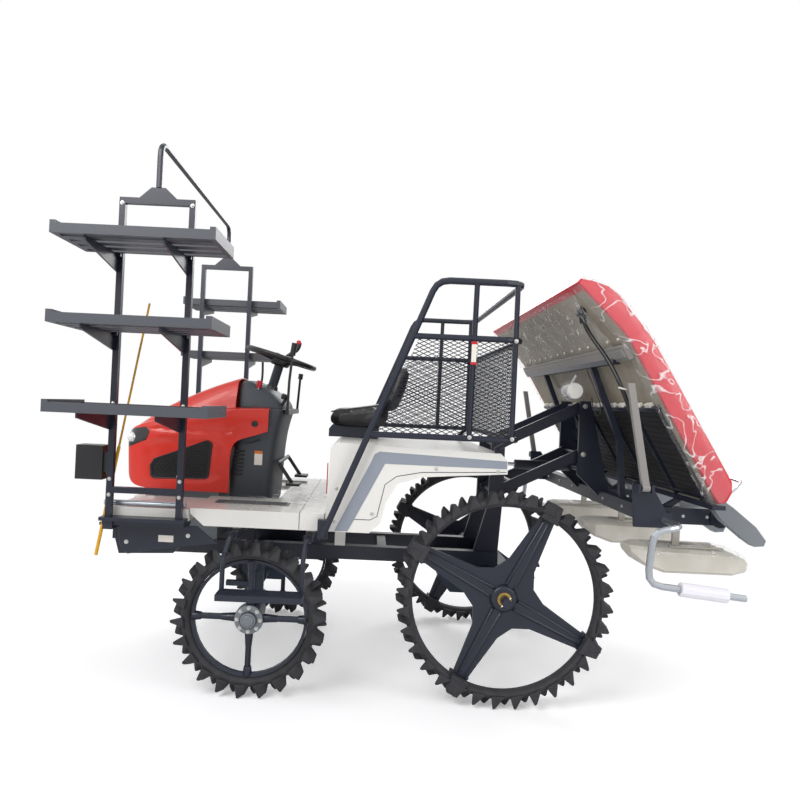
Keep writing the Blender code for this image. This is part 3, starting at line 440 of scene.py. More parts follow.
FRONT_LUGS = 22
REAR_LUGS = 32
STAR_TURN = math.radians(63)
for side in SIDES:
    centre = place(0, side * TRACK_Y, FRONT_R)
    shape = dict(base_radius=0.270, tip_radius=FRONT_R - 0.0015, width=0.050, base=0.046, tip=0.011,
        lean=0.010, skew=0.45)
    tyre = lugged_tyre(
        side_name("front_lugged_tyre", side),
        centre,
        0.270,
        0.022,
        0.060,
        [
            (FRONT_LUGS, 0.0, dict(shape, y_shift=-0.025)),
            (FRONT_LUGS, math.pi / FRONT_LUGS, dict(shape, y_shift=0.025)),
        ],
        side_name("front_wheel", side),
    )
    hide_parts(side_name("front_tyre", side))
    centre = place(REAR_X, side * TRACK_Y, REAR_Z)
    fin = dict(base_radius=0.405, tip_radius=REAR_Z - 0.0015, width=0.046, base=0.056, tip=0.010,
        lean=0.016, skew=0.30)
    tread = dict(base_radius=0.380, tip_radius=REAR_Z - 0.002, width=0.092, base=0.080, tip=0.052,
        lean=0.0, skew=0.0, y_shift=0.0)
    tyre = lugged_tyre(
        side_name("rear_lugged_tyre", side),
        centre,
        0.408,
        0.020,
        0.062,
        [
            (REAR_LUGS, 0.0, dict(fin, y_shift=-0.023)),
            (REAR_LUGS, math.pi / REAR_LUGS, dict(fin, y_shift=0.023)),
            (4, math.pi / 2 - STAR_TURN, tread),
        ],
        side_name("rear_wheel", side),
    )
    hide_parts(side_name("rear_tyre", side))
    print(tyre.name, len(tyre.data.polygons), "faces")

# %% [markdown]
# The front rims are black pressed steel with a cast hub plate: eight bolts round a shallow cap. The rear
# wheels have a star-shaped plate with ribs along its arms and one large axle nut on a brass-coloured washer.

# %% Hubs and bolts
BRASS = surface("yellow_passivated_nut", "A58A4A", 0.38, metallic=0.8)
for side in SIDES:
    NODES[side_name("front_rim", side)].data.materials[0] = POWDER_COAT
    body = side_name("front_wheel", side)
    out = Vector((0, side, 0))
    hub = place(0, side * TRACK_Y, FRONT_R)
    flange = rod(hub + out * 0.0242, hub + out * 0.033, 0.060, sides=48, edge=0.002)
    ring = rod(hub + out * 0.030, hub + out * 0.049, 0.038, sides=48, edge=0.004, end_radius=0.034)
    cap = rod(hub + out * 0.047, hub + out * 0.056, 0.028, sides=40, edge=0.003, end_radius=0.022)
    dress([flange, ring, cap], side_name("front_hub_cap", side), CAST_GREY, body)
    bolts = []
    for i in range(8):
        angle = 2 * math.pi * i / 8
        bolts.append(bolt(hub + out * 0.033 + Vector((math.cos(angle), 0, math.sin(angle))) * 0.049,
            out, 0.0075, 0.007))
    dress(bolts, side_name("front_hub_bolts", side), ZINC, body, smooth=0)
    # Four ribs stiffen the spokes where they leave the hub, and a clamp holds each to the rim.
    ribs = []
    for i in range(4):
        angle = math.pi / 2 * i
        arm = Vector((math.cos(angle), 0, math.sin(angle)))
        ribs.append(rod(hub + arm * 0.05, hub + arm * 0.12, 0.020, sides=16, edge=0.002, end_radius=0.014))
        ribs.append(rod(hub + arm * 0.205, hub + arm * 0.243, 0.016, sides=16, edge=0.002,
            end_radius=0.021))
    dress(ribs, side_name("front_spoke_sockets", side), POWDER_COAT, body)

    body = side_name("rear_wheel", side)
    hub = place(REAR_X, side * TRACK_Y, REAR_Z)
    pieces = []
    for i in range(4):
        angle = STAR_TURN + math.pi / 2 * i
        arm = Vector((math.cos(angle), 0, math.sin(angle)))
        across = Vector((-arm.z, 0, arm.x))
        for lane in (-1, 1):
            start = hub + arm * 0.060 + across * lane * 0.020 + out * 0.008
            end = hub + arm * 0.365 + across * lane * 0.010 + out * 0.008
            pieces.append(rod(start, end, 0.007, sides=10, edge=0.001))
        pieces.append(bolt(hub + arm * 0.372 + across * 0.030 + out * 0.006, out, 0.008, 0.007))
    pieces.append(rod(hub + out * 0.004, hub + out * 0.022, 0.062, sides=40, edge=0.004, end_radius=0.050))
    dress(pieces, side_name("rear_star_ribs", side), POWDER_COAT, body)
    nut = [
        rod(hub + out * 0.020, hub + out * 0.030, 0.030, sides=32, edge=0.002),
        rod(hub + out * 0.030, hub + out * 0.056, 0.019, sides=6, edge=0.002),
        rod(hub + out * 0.056, hub + out * 0.078, 0.010, sides=16, edge=0.002),
    ]
    dress(nut, side_name("rear_axle_nut", side), BRASS, body)
    pin = [rod(hub + out * 0.066 + Vector((-0.02, 0, -0.02)),
        hub + out * 0.066 + Vector((0.02, 0, 0.02)), 0.0025, sides=10)]
    dress(pin, side_name("rear_axle_split_pin", side), ZINC, body)
print("hubs: 8 bolts a front wheel, 4 ribbed arms a rear wheel")

# %% [markdown]
# ## Basket
# The panels behind the seat are expanded metal: a slit sheet pulled out into diamonds. Two families of
# slanted strands make it. One strand is repeated up the panel by an Array, and the panel's edges are cut
# by bisects.

# %% Expanded metal panels
STRAND = 0.0034
DIAMOND_WIDTH = 0.036
DIAMOND_HEIGHT = 0.0165


def cut_outside(obj, spot, normal):
    clear_selection()
    obj.select_set(True)
    bpy.context.view_layer.objects.active = obj
    bpy.ops.object.mode_set(mode="EDIT")
    bpy.ops.mesh.select_all(action="SELECT")
    bpy.ops.mesh.bisect(plane_co=spot, plane_no=normal, clear_outer=True, use_fill=True)
    bpy.ops.object.mode_set(mode="OBJECT")


def expanded_panel(corner, along, up, length, height, lean=0.0):
    """A panel of diamonds from its lower corner. lean moves the first edge along as it rises."""
    slope = DIAMOND_HEIGHT / DIAMOND_WIDTH
    rise = length * slope
    families = []
    for turn in (-1, 1):
        low_z = -rise if turn > 0 else 0.0
        strand = rod((0, 0, low_z), (length, 0, low_z + turn * rise if turn > 0 else -rise), STRAND / 2,
            sides=4)
        count = int((height + rise) / DIAMOND_HEIGHT) + 1
        shaped(
            strand,
            "ARRAY",
            count=count,
            use_relative_offset=False,
            use_constant_offset=True,
            constant_offset_displace=(0, 0, DIAMOND_HEIGHT),
        )
        families.append(strand)
    panel = joined(families)
    for spot, normal in (
        ((0, 0, 0), (0, 0, -1)),
        ((0, 0, height), (0, 0, 1)),
        ((0, 0, 0), (-height, 0, lean)),
        ((length, 0, 0), (1, 0, 0)),
    ):
        cut_outside(panel, spot, normal)
    along, up = Vector(along).normalized(), Vector(up).normalized()
    side = up.cross(along)
    turn = Matrix((along, side, up)).transposed().to_4x4()
    panel.data.transform(Matrix.Translation(Vector(corner)) @ turn)
    return panel


mesh_low, mesh_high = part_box("basket_mesh")
CORNER = 0.028
floor_z, rim_z = mesh_low.z, mesh_high.z
panel_height = rim_z - floor_z
SLANT = 0.164
panels = []
for side in SIDES:
    y = side * (mesh_high.y - 0.0015)
    panels.append(
        expanded_panel(
            (mesh_low.x, y, floor_z), (1, 0, 0), (0, 0,
                1), mesh_high.x - CORNER - mesh_low.x, panel_height, SLANT
        )
    )
    corner_start = Vector((mesh_high.x - CORNER, y, floor_z))
    panels.append(expanded_panel(corner_start, (1, -side, 0), (0, 0, 1), CORNER * math.sqrt(2),
        panel_height))
panels.append(
    expanded_panel(
        (mesh_high.x - 0.0015, -mesh_high.y + CORNER, floor_z), (0, 1, 0), (0, 0,
            1), 2 * (mesh_high.y - CORNER), panel_height
    )
)
basket = dress(panels, "expanded_metal_basket", MESH_STEEL, "chassis", smooth=0)
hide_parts("basket_mesh")
print("basket:", len(basket.data.polygons), "faces")

# %% [markdown]
# ## Bonnet
# The bonnet is one red moulding: two flanks with a hump between them. A grid of points across stations along
# the machine gives the skin, creases keep the shoulder sharp, subdivision rounds the rest, and Solidify
# gives it a wall. Black lamp bays, a mesh grille and a lock sit in it.

# %% Bonnet skin
CREASE = "crease_edge"
STATIONS = (
    # x, bottom z, bottom y, belt y, shoulder z, shoulder y, hump foot y, crown y, crown z
    (-0.690, 0.930, 0.170, 0.185, 1.060, 0.165, 0.120, 0.090, 1.080),
    (-0.672, 0.850, 0.215, 0.232, 1.088, 0.205, 0.150, 0.105, 1.108),
    (-0.630, 0.818, 0.240, 0.252, 1.112, 0.232, 0.170, 0.120, 1.140),
    (-0.540, 0.812, 0.252, 0.266, 1.136, 0.254, 0.182, 0.135, 1.202),
    (-0.420, 0.810, 0.260, 0.274, 1.160, 0.264, 0.190, 0.142, 1.262),
    (-0.290, 0.810, 0.264, 0.279, 1.188, 0.270, 0.196, 0.140, 1.320),
    (-0.178, 0.810, 0.266, 0.282, 1.207, 0.273, 0.200, 0.136, 1.358),
    (-0.090, 0.810, 0.267, 0.283, 1.213, 0.274, 0.200, 0.136, 1.358),
    (-0.004, 0.810, 0.268, 0.283, 1.213, 0.275, 0.200, 0.136, 1.358),
)
LAST_HUMP = 6


FLAP_EDGE = {-0.090: 1.076, -0.004: 1.108}


def half_profile(station):
    x, low_z, low_y, belt_y, top_z, top_y, foot_y, crown_y, crown_z = station
    belt_z = FLAP_EDGE.get(x, low_z + (top_z - low_z) * 0.62)
    return [
        (x, low_y, low_z),
        (x, (low_y * 2 + belt_y) / 3 + 0.002, low_z + (belt_z - low_z) * 0.45),
        (x, belt_y, belt_z),
        (x, belt_y - 0.002, top_z - 0.030),
        (x, top_y, top_z),
        (x, foot_y, top_z + 0.006),
        (x, (foot_y + crown_y) / 2 + 0.006, (top_z + crown_z) / 2),
        (x, crown_y, crown_z - 0.008),
        (x, crown_y * 0.55, crown_z + 0.003),
    ]


rows = []
for station in STATIONS:
    half = half_profile(station)
    rows.append([Vector((x, -y, z)) for x, y, z in half] + [Vector((x, y, z)) for x, y,
        z in reversed(half)])
WIDE = len(rows[0])
SHOULDER = 4
mesh = bpy.data.meshes.new("bonnet_skin")
points = [place(*spot) for row in rows for spot in row]
faces = []
for i in range(len(rows) - 1):
    for j in range(WIDE - 1):
        flank = j < SHOULDER + 1 or j > WIDE - SHOULDER - 3
        if i < LAST_HUMP or (flank and not (j in (0, 1, WIDE - 2, WIDE - 3))):
            faces.append((i * WIDE + j, i * WIDE + j + 1, (i + 1) * WIDE + j + 1, (i + 1) * WIDE + j))
for j in range(WIDE // 2 - 1):
    faces.append((j + 1, j, WIDE - 1 - j, WIDE - 2 - j))
mesh.from_pydata(points, [], faces)
bonnet = bpy.data.objects.new("bonnet_skin", mesh)
bpy.context.scene.collection.objects.link(bonnet)
mesh.attributes.new(CREASE, "FLOAT", "EDGE")
creases = mesh.attributes[CREASE].data
for edge in mesh.edges:
    a, b = (index % WIDE for index in edge.vertices)
    row_a, row_b = (index // WIDE for index in edge.vertices)
    sharp = 0.0
    if a == b and a in (SHOULDER, WIDE - 1 - SHOULDER):
        sharp = 0.55
    if a == b and a in (SHOULDER + 1, WIDE - 2 - SHOULDER):
        sharp = 0.75
    if a == b and a in (SHOULDER + 3, WIDE - 4 - SHOULDER):
        sharp = 0.35
    if row_a == row_b == LAST_HUMP and min(a, b) > SHOULDER and max(a, b) < WIDE - 1 - SHOULDER:
        sharp = 1.0
    if row_a == row_b == 0:
        sharp = 0.3
    creases[edge.index].value = sharp
clear_selection()
bonnet.select_set(True)
bpy.context.view_layer.objects.active = bonnet
bpy.ops.object.mode_set(mode="EDIT")
bpy.ops.mesh.select_all(action="SELECT")
bpy.ops.mesh.normals_make_consistent(inside=False)
bpy.ops.object.mode_set(mode="OBJECT")
shaped(bonnet, "SUBSURF", levels=3, render_levels=3, boundary_smooth="PRESERVE_CORNERS")


def press(obj, spot, size, depth, direction, power=4.0):
    """Pushes the skin in round a spot, flat in the middle and soft at the rim: a pressed panel."""
    for vertex in obj.data.vertices:
        offset = vertex.co - spot
        if abs(offset.y) > 0.12:
            continue
        far = (abs(offset.x / size[0]) ** power + abs(offset.z / size[1]) ** power) ** (1 / power)
        if far < 1.25:
            vertex.co += Vector(direction) * depth * max(0.0, min(1.0, (1.25 - far) / 0.30))


for side in SIDES:
    # The pressed panel behind the grille, and the long swoosh above it.
    press(bonnet, place(-0.405, side * 0.27, 0.955), (0.165, 0.085), 0.010, (0, -side, 0))
    press(bonnet, place(-0.340, side * 0.27, 1.098), (0.200, 0.010), 0.006, (0, -side, 0), 2.0)
shaped(bonnet, "SOLIDIFY", thickness=0.005, offset=-1.0)
dress(bonnet, "moulded_bonnet", RED_ENAMEL, "bonnet", smooth=40)
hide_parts("bonnet")
print("bonnet:", len(bonnet.data.polygons), "faces")

# %% [markdown]
# The grille is black woven mesh in a moulded frame. The lamp bays are dark housings with a chromed reflector
# under a clear lens.

# %% Grille, lamps and lock
GRILLE = ((-0.560, 0.925), (-0.540, 0.956), (-0.285, 1.055), (-0.262, 1.040), (-0.276, 0.882), (-0.288,
    0.870), (-0.540, 0.862), (-0.556, 0.876))
# This near-black is painted shade: it goes where openings show only shade, behind the grille, in the louvre
# slots and in the scoop.
OPENING_SHADE_BLACK = surface("painted_opening_shade", "0E0E10", 0.45)
LENS_BLACK = surface("smoked_lamp_lens", "141519", 0.10, coat=0.6)


def inward(outline, amount):
    middle = Vector((sum(p[0] for p in outline) / len(outline), sum(p[1] for p in outline) / len(outline)))
    return [tuple(Vector(p) + (middle - Vector(p)).normalized() * amount) for p in outline]


def ring_plate(outline, width, axis, low, high):
    """A flat frame that follows an outline."""
    outer = plate(outline, axis, low, high, 0.0)
    inner = plate(inward(outline, width), axis, min(low, high) - 0.01, max(low, high) + 0.01, 0.0)
    shaped(outer, "BOOLEAN", operation="DIFFERENCE", object=inner, solver="EXACT")
    bpy.data.objects.remove(inner)
    return broken_edges(outer, 0.002, 2)


def sliced(obj, step):
    """Cuts an object across x and z every step, so that it can follow a curved skin."""
    low = [min(v.co[i] for v in obj.data.vertices) for i in range(3)]
    high = [max(v.co[i] for v in obj.data.vertices) for i in range(3)]
    clear_selection()
    obj.select_set(True)
    bpy.context.view_layer.objects.active = obj
    bpy.ops.object.mode_set(mode="EDIT")
    for i, normal in ((0, (1, 0, 0)), (2, (0, 0, 1))):
        for cut in range(1, int((high[i] - low[i]) / step) + 1):
            spot = [0, 0, 0]
            spot[i] = low[i] + cut * step
            bpy.ops.mesh.select_all(action="SELECT")
            bpy.ops.mesh.bisect(plane_co=spot, plane_no=normal)
    bpy.ops.object.mode_set(mode="OBJECT")
    return obj


def laid_on(obj, skin, side, base_y=0.0):
    """Moves each point along y, so that base_y lies on the skin."""
    for vertex in obj.data.vertices:
        hit, spot, _normal, _face = skin.ray_cast(Vector((vertex.co.x, side * 1.5, vertex.co.z)),
            Vector((0, -side, 0)))
        if hit:
            vertex.co.y += spot.y - side * base_y
    return obj


BAY = ((-0.682, 1.076), (-0.650, 1.093), (-0.585, 1.104), (-0.566, 1.084), (-0.580, 1.044), (-0.640,
    1.018), (-0.684, 1.000))
for side in SIDES:
    spots = [(x + AXLE_X, z) for x, z in GRILLE]
    low, high = sorted((-side * 0.004, side * 0.006))
    frame_ring = sliced(ring_plate(spots, 0.011, "y", low, high), 0.030)
    dress(laid_on(frame_ring, bonnet, side), side_name("grille_frame", side), CONTROL_ABS, "bonnet")
    # The sheet behind the grille mesh is painted shade: a near-black plate for the dark opening.
    low, high = sorted((-side * 0.004, side * 0.0012))
    back = sliced(plate(inward(spots, 0.006), "y", low, high, 0.0), 0.030)
    dress(laid_on(back, bonnet, side), side_name("grille_backing", side), OPENING_SHADE_BLACK, "bonnet", smooth=0)
    strands = []
    for i in range(14):
        x = -0.545 + i * 0.0195
        top = 0.955 + max(0.0, min(1.0, (x + 0.540) / 0.255)) * 0.098
        for k in range(16):
            z = 0.874 + 0.012 * k
            if z < top - 0.010:
                shift = 0.009 if k % 2 else 0.0
                start = place(x + shift - 0.008, side * 0.0016, z - 0.003)
                end = place(x + shift + 0.008, side * 0.0036, z + 0.004)
                strands.append(rod(start, end, 0.0024, sides=5))
    strands = laid_on(joined(strands), bonnet, side)
    dress(strands, side_name("grille_mesh", side), CONTROL_ABS, "bonnet", smooth=60)
    # The lamp bay wraps the front corner, so it lies on the skin too.
    low, high = sorted((-side * 0.004, side * 0.003))
    bay = sliced(plate([(x + AXLE_X, z) for x, z in BAY], "y", low, high, 0.0), 0.012)
    dress(laid_on(bay, bonnet, side), side_name("lamp_bay", side), LENS_BLACK, "bonnet")
    lamp_spot = place(-0.650, side * 0.222, 1.050)
    look = Vector((-0.62, side * 0.78, 0)).normalized()
    bezel = rod(lamp_spot - look * 0.010, lamp_spot + look * 0.016, 0.023, sides=32, edge=0.003,
        end_radius=0.027)
    dress(bezel, side_name("lamp_bezel", side), CHROME, "bonnet")
    clear_selection()
    bpy.ops.mesh.primitive_uv_sphere_add(segments=24, ring_count=12, radius=0.021,
        location=lamp_spot + look * 0.012)
    lens = settle(bpy.context.object)
    dress(lens, side_name("lamp_lens", side), LAMP_GLASS, "bonnet", smooth=180)
    hole = [
        rod(place(-0.066, side * 0.276, 1.141), place(-0.066, side * 0.2865, 1.141), 0.015, sides=28,
            edge=0.002),
        rod(place(-0.066, side * 0.284, 1.141), place(-0.066, side * 0.2895, 1.141), 0.008, sides=20,
            edge=0.001),
    ]
    dress(hole, side_name("bonnet_lock", side), CONTROL_ABS, "bonnet")
# A black air slot under the nose.
slot_pieces = [block(place(-0.694, -0.130, 0.985 + 0.016 * i), place(-0.684, 0.130, 0.993 + 0.016 * i),
    0.002) for i in range(3)]
dress(slot_pieces, "nose_air_slots", CONTROL_ABS, "bonnet")

# %% [markdown]
# ## Cowl
# The slate cowl behind the bonnet is one grained moulding. Its side bulges a little, its rear corner is
# round, and a dished dashboard rises from it. Two cages with few points are rounded by subdivision.

# %% Cowl moulding
def caged(name, rings, closed_top=True, levels=3, crease_rings=()):
    """A closed body through rings of points, rounded by subdivision. crease_rings keep their edge."""
    count = len(rings[0])
    mesh = bpy.data.meshes.new(name)
    faces = []
    for i in range(len(rings) - 1):
        for j in range(count):
            k = (j + 1) % count
            faces.append((i * count + j, i * count + k, (i + 1) * count + k, (i + 1) * count + j))
    faces.append(tuple(reversed(range(count))))
    if closed_top:
        faces.append(tuple((len(rings) - 1) * count + j for j in range(count)))
    mesh.from_pydata([Vector(spot) for ring in rings for spot in ring], [], faces)
    obj = bpy.data.objects.new(name, mesh)
    bpy.context.scene.collection.objects.link(obj)
    mesh.attributes.new(CREASE, "FLOAT", "EDGE")
    for edge in mesh.edges:
        rows_of_edge = {index // count for index in edge.vertices}
        if len(rows_of_edge) == 1 and rows_of_edge & set(crease_rings):
            mesh.attributes[CREASE].data[edge.index].value = 0.8
    clear_selection()
    obj.select_set(True)
    bpy.context.view_layer.objects.active = obj
    bpy.ops.object.mode_set(mode="EDIT")
    bpy.ops.mesh.select_all(action="SELECT")
    bpy.ops.mesh.normals_make_consistent(inside=False)
    bpy.ops.object.mode_set(mode="OBJECT")
    return shaped(obj, "SUBSURF", levels=levels, render_levels=levels)


def level_ring(z, front_x, rear_x, width, corner=0.030, bulge=0.0):
    """A level ring round the machine's middle, with drawn-in corners."""
    half = [
        (front_x, width - corner),
        (front_x + corner, width),
        ((front_x + rear_x) / 2, width + bulge),
        (rear_x - corner, width),
        (rear_x, width - corner),
        (rear_x + 0.004, 0.0),
    ]
    left = [place(x, -y, z) for x, y in half]
    right = [place(x, y, z) for x, y in reversed(half[:-1])]
    return left + right + [place(front_x, 0, z)]


lower_cowl = caged(
    "cowl_body",
    [
        level_ring(z, front, rear, width, 0.030, bulge)
        for z, front, rear, width, bulge in (
            (0.742, -0.196, 0.016, 0.226, 0.0),
            (0.830, -0.196, 0.022, 0.240, 0.004),
            (0.960, -0.190, 0.026, 0.242, 0.005),
            (1.080, -0.170, 0.036, 0.242, 0.004),
            (1.150, -0.160, 0.052, 0.243, 0.003),
            (1.200, -0.160, 0.066, 0.243, 0.002),
            (1.216, -0.160, 0.068, 0.240, 0.0),
        )
    ],
    crease_rings=(0, 6),
)
binnacle = caged(
    "cowl_top",
    [
        level_ring(z, front, rear, width, 0.035)
        for z, front, rear, width in (
            (1.200, -0.170, 0.064, 0.222),
            (1.222, -0.172, 0.064, 0.220),
            (1.262, -0.176, 0.046, 0.196),
            (1.305, -0.180, -0.010, 0.172),
            (1.338, -0.178, -0.078, 0.146),
            (1.350, -0.168, -0.100, 0.126),
        )
    ],
)
cowl = dress([lower_cowl, binnacle], "moulded_cowl", SLATE_ABS, "chassis", smooth=40)
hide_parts("dash_cowl")

# %% Louvres, labels and dashboard fittings
for side in SIDES:
    # The louvre slots are painted shade: near-black stripes on the cowl's side.
    louvres = []
    for i in range(7):
        z = 0.893 + 0.0185 * i
        length = 0.030 + 0.004 * i
        louvres.append(block(place(-0.160, side * 0.240, z), place(-0.130 + length * 0.35,
            side * 0.2475, z + 0.0085), 0.002))
    dress(louvres, side_name("cowl_louvres", side), OPENING_SHADE_BLACK, "chassis")
    # The scoop's mouth is painted shade: a near-black plate.
    scoop = plate([(x + AXLE_X, z) for x, z in ((-0.118, 1.044), (-0.046, 1.070), (-0.040, 1.062),
        (-0.086, 1.046))], "y", *sorted((side * 0.2440, side * 0.2485)), 0.001)
    dress(scoop, side_name("cowl_scoop", side), OPENING_SHADE_BLACK, "chassis")
label = block(place(-0.067, -0.2485, 0.945), place(-0.029, -0.2440, 0.998), 0.0008)
dress(label, "blank_cowl_label", LABEL_WHITE, "chassis")
band = block(place(-0.067, -0.2486, 0.998), place(-0.029, -0.2440, 1.012), 0.0008)
dress(band, "blank_cowl_label_band", LABEL_ORANGE, "chassis")
# A round key switch, a lever with a red top, a thin black lever and rubber gaiters at their feet.
gaiter = [
    rod(place(-0.040, -0.012, 1.296), place(-0.030, -0.010, 1.330), 0.036, sides=28, edge=0.004,
        end_radius=0.028),
    rod(place(0.010, -0.110, 1.244), place(0.020, -0.110, 1.262), 0.020, sides=24, edge=0.003,
        end_radius=0.014),
    rod(place(-0.075, -0.140, 1.285), place(-0.072, -0.140, 1.300), 0.020, sides=20, edge=0.003,
        end_radius=0.012),
]
dress(gaiter, "control_gaiters", CONTROL_ABS, "chassis")
stick = pipe([place(-0.075, -0.140, 1.290), place(-0.066, -0.142, 1.335), place(-0.062, -0.146, 1.390),
    place(-0.064, -0.150, 1.440)], 0.0055)
dress(stick, "thin_throttle_lever", CONTROL_ABS, "chassis", smooth=60)
red_stem = rod(place(-0.085, -0.162, 1.262), place(-0.075, -0.166, 1.318), 0.005, sides=12)
dress(red_stem, "short_lever_stem", ZINC, "chassis")
red_top = rod(place(-0.076, -0.1655, 1.312), place(-0.070, -0.168, 1.348), 0.011, sides=20, edge=0.004,
    end_radius=0.014)
dress(red_top, "short_lever_grip", RED_GRIP, "chassis")
knob = [
    rod(place(0.040, -0.180, 1.228), place(0.060, -0.184, 1.262), 0.008, sides=14),
    rod(place(0.052, -0.184, 1.262), place(0.060, -0.186, 1.288), 0.016, sides=24, edge=0.004),
]
dress(knob, "parking_knob", CONTROL_ABS, "chassis")

# %% [markdown]
# The steering wheel has a thick grained rim, a padded hub box, and a spinner lever whose grip is red at its
# tip. They turn with the wheel.

# %% Steering wheel
column_top = place(-0.004, 0, 1.432)
axis = Vector((0.036, 0, 0.132)).normalized()
sideways = Vector((0, 1, 0))
forward = sideways.cross(axis)
hub_spot = column_top + axis * 0.0305
clear_selection()
bpy.ops.mesh.primitive_torus_add(
    major_radius=0.1725,
    minor_radius=0.0135,
    major_segments=96,
    minor_segments=20,
    location=hub_spot + axis * 0.012,
    rotation=axis.to_track_quat("Z", "Y").to_euler(),
)
rim = settle(bpy.context.object)
pieces = [rim]
for degrees in (90, 210, 330):
    radial = forward * math.cos(math.radians(degrees)) + sideways * math.sin(math.radians(degrees))
    spoke = rod(hub_spot + radial * 0.02, hub_spot + radial * 0.168 + axis * 0.012, 0.016, sides=20,
        edge=0.002, end_radius=0.010)
    pieces.append(spoke)
pieces.append(rod(column_top + axis * 0.0005, hub_spot + axis * 0.004, 0.046, sides=36, edge=0.008,
    end_radius=0.056))
pieces.append(rod(hub_spot, hub_spot + axis * 0.020, 0.052, sides=36, edge=0.006, end_radius=0.040))
wheel = dress(pieces, "moulded_steering_wheel", CONTROL_ABS, "steering_wheel", smooth=50)
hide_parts("steering_wheel")
spinner_foot = hub_spot + axis * 0.014 - forward * 0.0 + Vector((0.03, -0.05, 0))
spinner = pipe([spinner_foot, spinner_foot + Vector((0.03, -0.003, 0.022)),
    spinner_foot + Vector((0.062, -0.004, 0.048)), spinner_foot + Vector((0.064, -0.004, 0.075))], 0.011)
dress(spinner, "spinner_arm", CONTROL_ABS, "steering_wheel", smooth=60)
grip = rod(spinner_foot + Vector((0.062, -0.004, 0.066)), spinner_foot + Vector((0.058, -0.004, 0.088)),
    0.014, sides=24, edge=0.005, end_radius=0.010)
dress(grip, "spinner_grip", RED_GRIP, "steering_wheel")
print("cowl:", len(cowl.data.polygons), "faces; steering wheel of", round(2 * 0.1725 + 0.027, 3), "m")

# %% [markdown]
# ## Seedling tray
# The tray is a slide in six lanes. Red mouldings edge it, a beige sheet backs it, and rubber feed belts show
# below. It is shipped in clear film that is pulled round its edges. A slope measure gives each place: s runs
# up the slope from the lower edge, and h stands out from its underside.

# %% Tray shell
SLOPE_FOOT = Vector((1.815, 0.935))
SLOPE_HEAD = Vector((1.447, 1.558))
SLOPE = (SLOPE_HEAD - SLOPE_FOOT).normalized()
UNDER = Vector((-SLOPE.y, SLOPE.x))
tray_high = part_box("seedling_tray")[1]
TRAY_Y = tray_high.y
LANES = 6
STRIP = 0.030
LANE = 2 * (TRAY_Y - STRIP) / LANES


def on_slope(s, h, y):
    spot = SLOPE_FOOT + SLOPE * s + UNDER * h
    return place(spot.x, y, spot.y)


SIDE_OUTLINE = (
    (1.815, 0.936), (1.447, 1.558), (1.424, 1.584), (1.399, 1.608), (1.350, 1.658), (1.300,
        1.706), (1.240, 1.762), (1.252, 1.776),
    (1.310, 1.766), (1.360, 1.750), (1.398, 1.722), (1.429, 1.687), (1.500, 1.604), (1.546,
        1.545), (1.863, 1.025), (1.866, 0.985), (1.846, 0.945),
)
strips = []
for side in SIDES:
    low, high = sorted((side * (TRAY_Y - STRIP), side * (TRAY_Y - 0.001)))
    strip = plate([(x + AXLE_X, z) for x, z in SIDE_OUTLINE], "y", low, high, 0.0)
    strips.append(broken_edges(strip, 0.006, 3))
UNDER_PATH = ((1.815, 0.936), (1.447, 1.558), (1.399, 1.608), (1.300, 1.706), (1.243, 1.761))


def path_sheet(path, thickness, y_low, y_high, outward=1):
    """A bent plate that follows a path in the side view."""
    outline = list(path)
    back = []
    for i, spot in enumerate(path):
        before, after = Vector(path[max(0, i - 1)]), Vector(path[min(len(path) - 1, i + 1)])
        along = (after - before).normalized()
        back.append(tuple(Vector(spot) + Vector((along.y, -along.x)) * thickness * outward))
    outline += reversed(back)
    return plate([(x + AXLE_X, z) for x, z in outline], "y", y_low, y_high, 0.0)


fences = []
FENCE_PATH = ((1.838, 0.948), (1.474, 1.566), (1.424, 1.616), (1.330, 1.708))
for i in range(1, LANES):
    y = -TRAY_Y + STRIP + LANE * i
    fences.append(broken_edges(path_sheet(FENCE_PATH, 0.026, y - 0.005, y + 0.005), 0.002, 1))
top_edge = plate(
    [(x + AXLE_X, z) for x, z in ((1.241, 1.761), (1.252, 1.775), (1.325, 1.758), (1.318, 1.722),
        (1.300, 1.708))],
    "y",
    -TRAY_Y + 0.020,
    TRAY_Y - 0.020,
    0.003,
)
tray = dress([*strips, *fences, top_edge], "tray_edge_mouldings", RED_PLASTIC, "seedling_tray")
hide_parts("seedling_tray")
backing = path_sheet(UNDER_PATH, 0.008, -TRAY_Y + 0.022, TRAY_Y - 0.022)
dress(backing, "tray_backing_sheet", BEIGE_BELT, "seedling_tray")

# %% Lane floors, belts and clips
lane_floor = path_sheet(((1.823, 0.941), (1.456, 1.563), (1.407, 1.612), (1.322, 1.696)), 0.004,
    -TRAY_Y + 0.024, TRAY_Y - 0.024)
for vertex in lane_floor.data.vertices:
    vertex.co.x += 0.004
dress(lane_floor, "tray_lane_floor", RED_PLASTIC, "seedling_tray")
ribs = []
for i in range(LANES):
    for k in range(1, 6):
        y = -TRAY_Y + STRIP + LANE * i + LANE * k / 6
        ribs.append(path_sheet(((1.832, 0.951), (1.466, 1.571), (1.417, 1.619), (1.345, 1.692)), 0.005,
            y - 0.004, y + 0.004))
dress(ribs, "tray_lane_ribs", RED_PLASTIC, "seedling_tray", smooth=0)


def slope_block(s_low, s_high, h_low, h_high, y_low, y_high, edge=0.002):
    """A block that lies along the slope."""
    corners = [on_slope(s, h, 0) for s, h in ((s_low, h_low), (s_high, h_low), (s_high, h_high),
        (s_low, h_high))]
    return plate([(c.x, c.z) for c in corners], "y", y_low, y_high, edge)


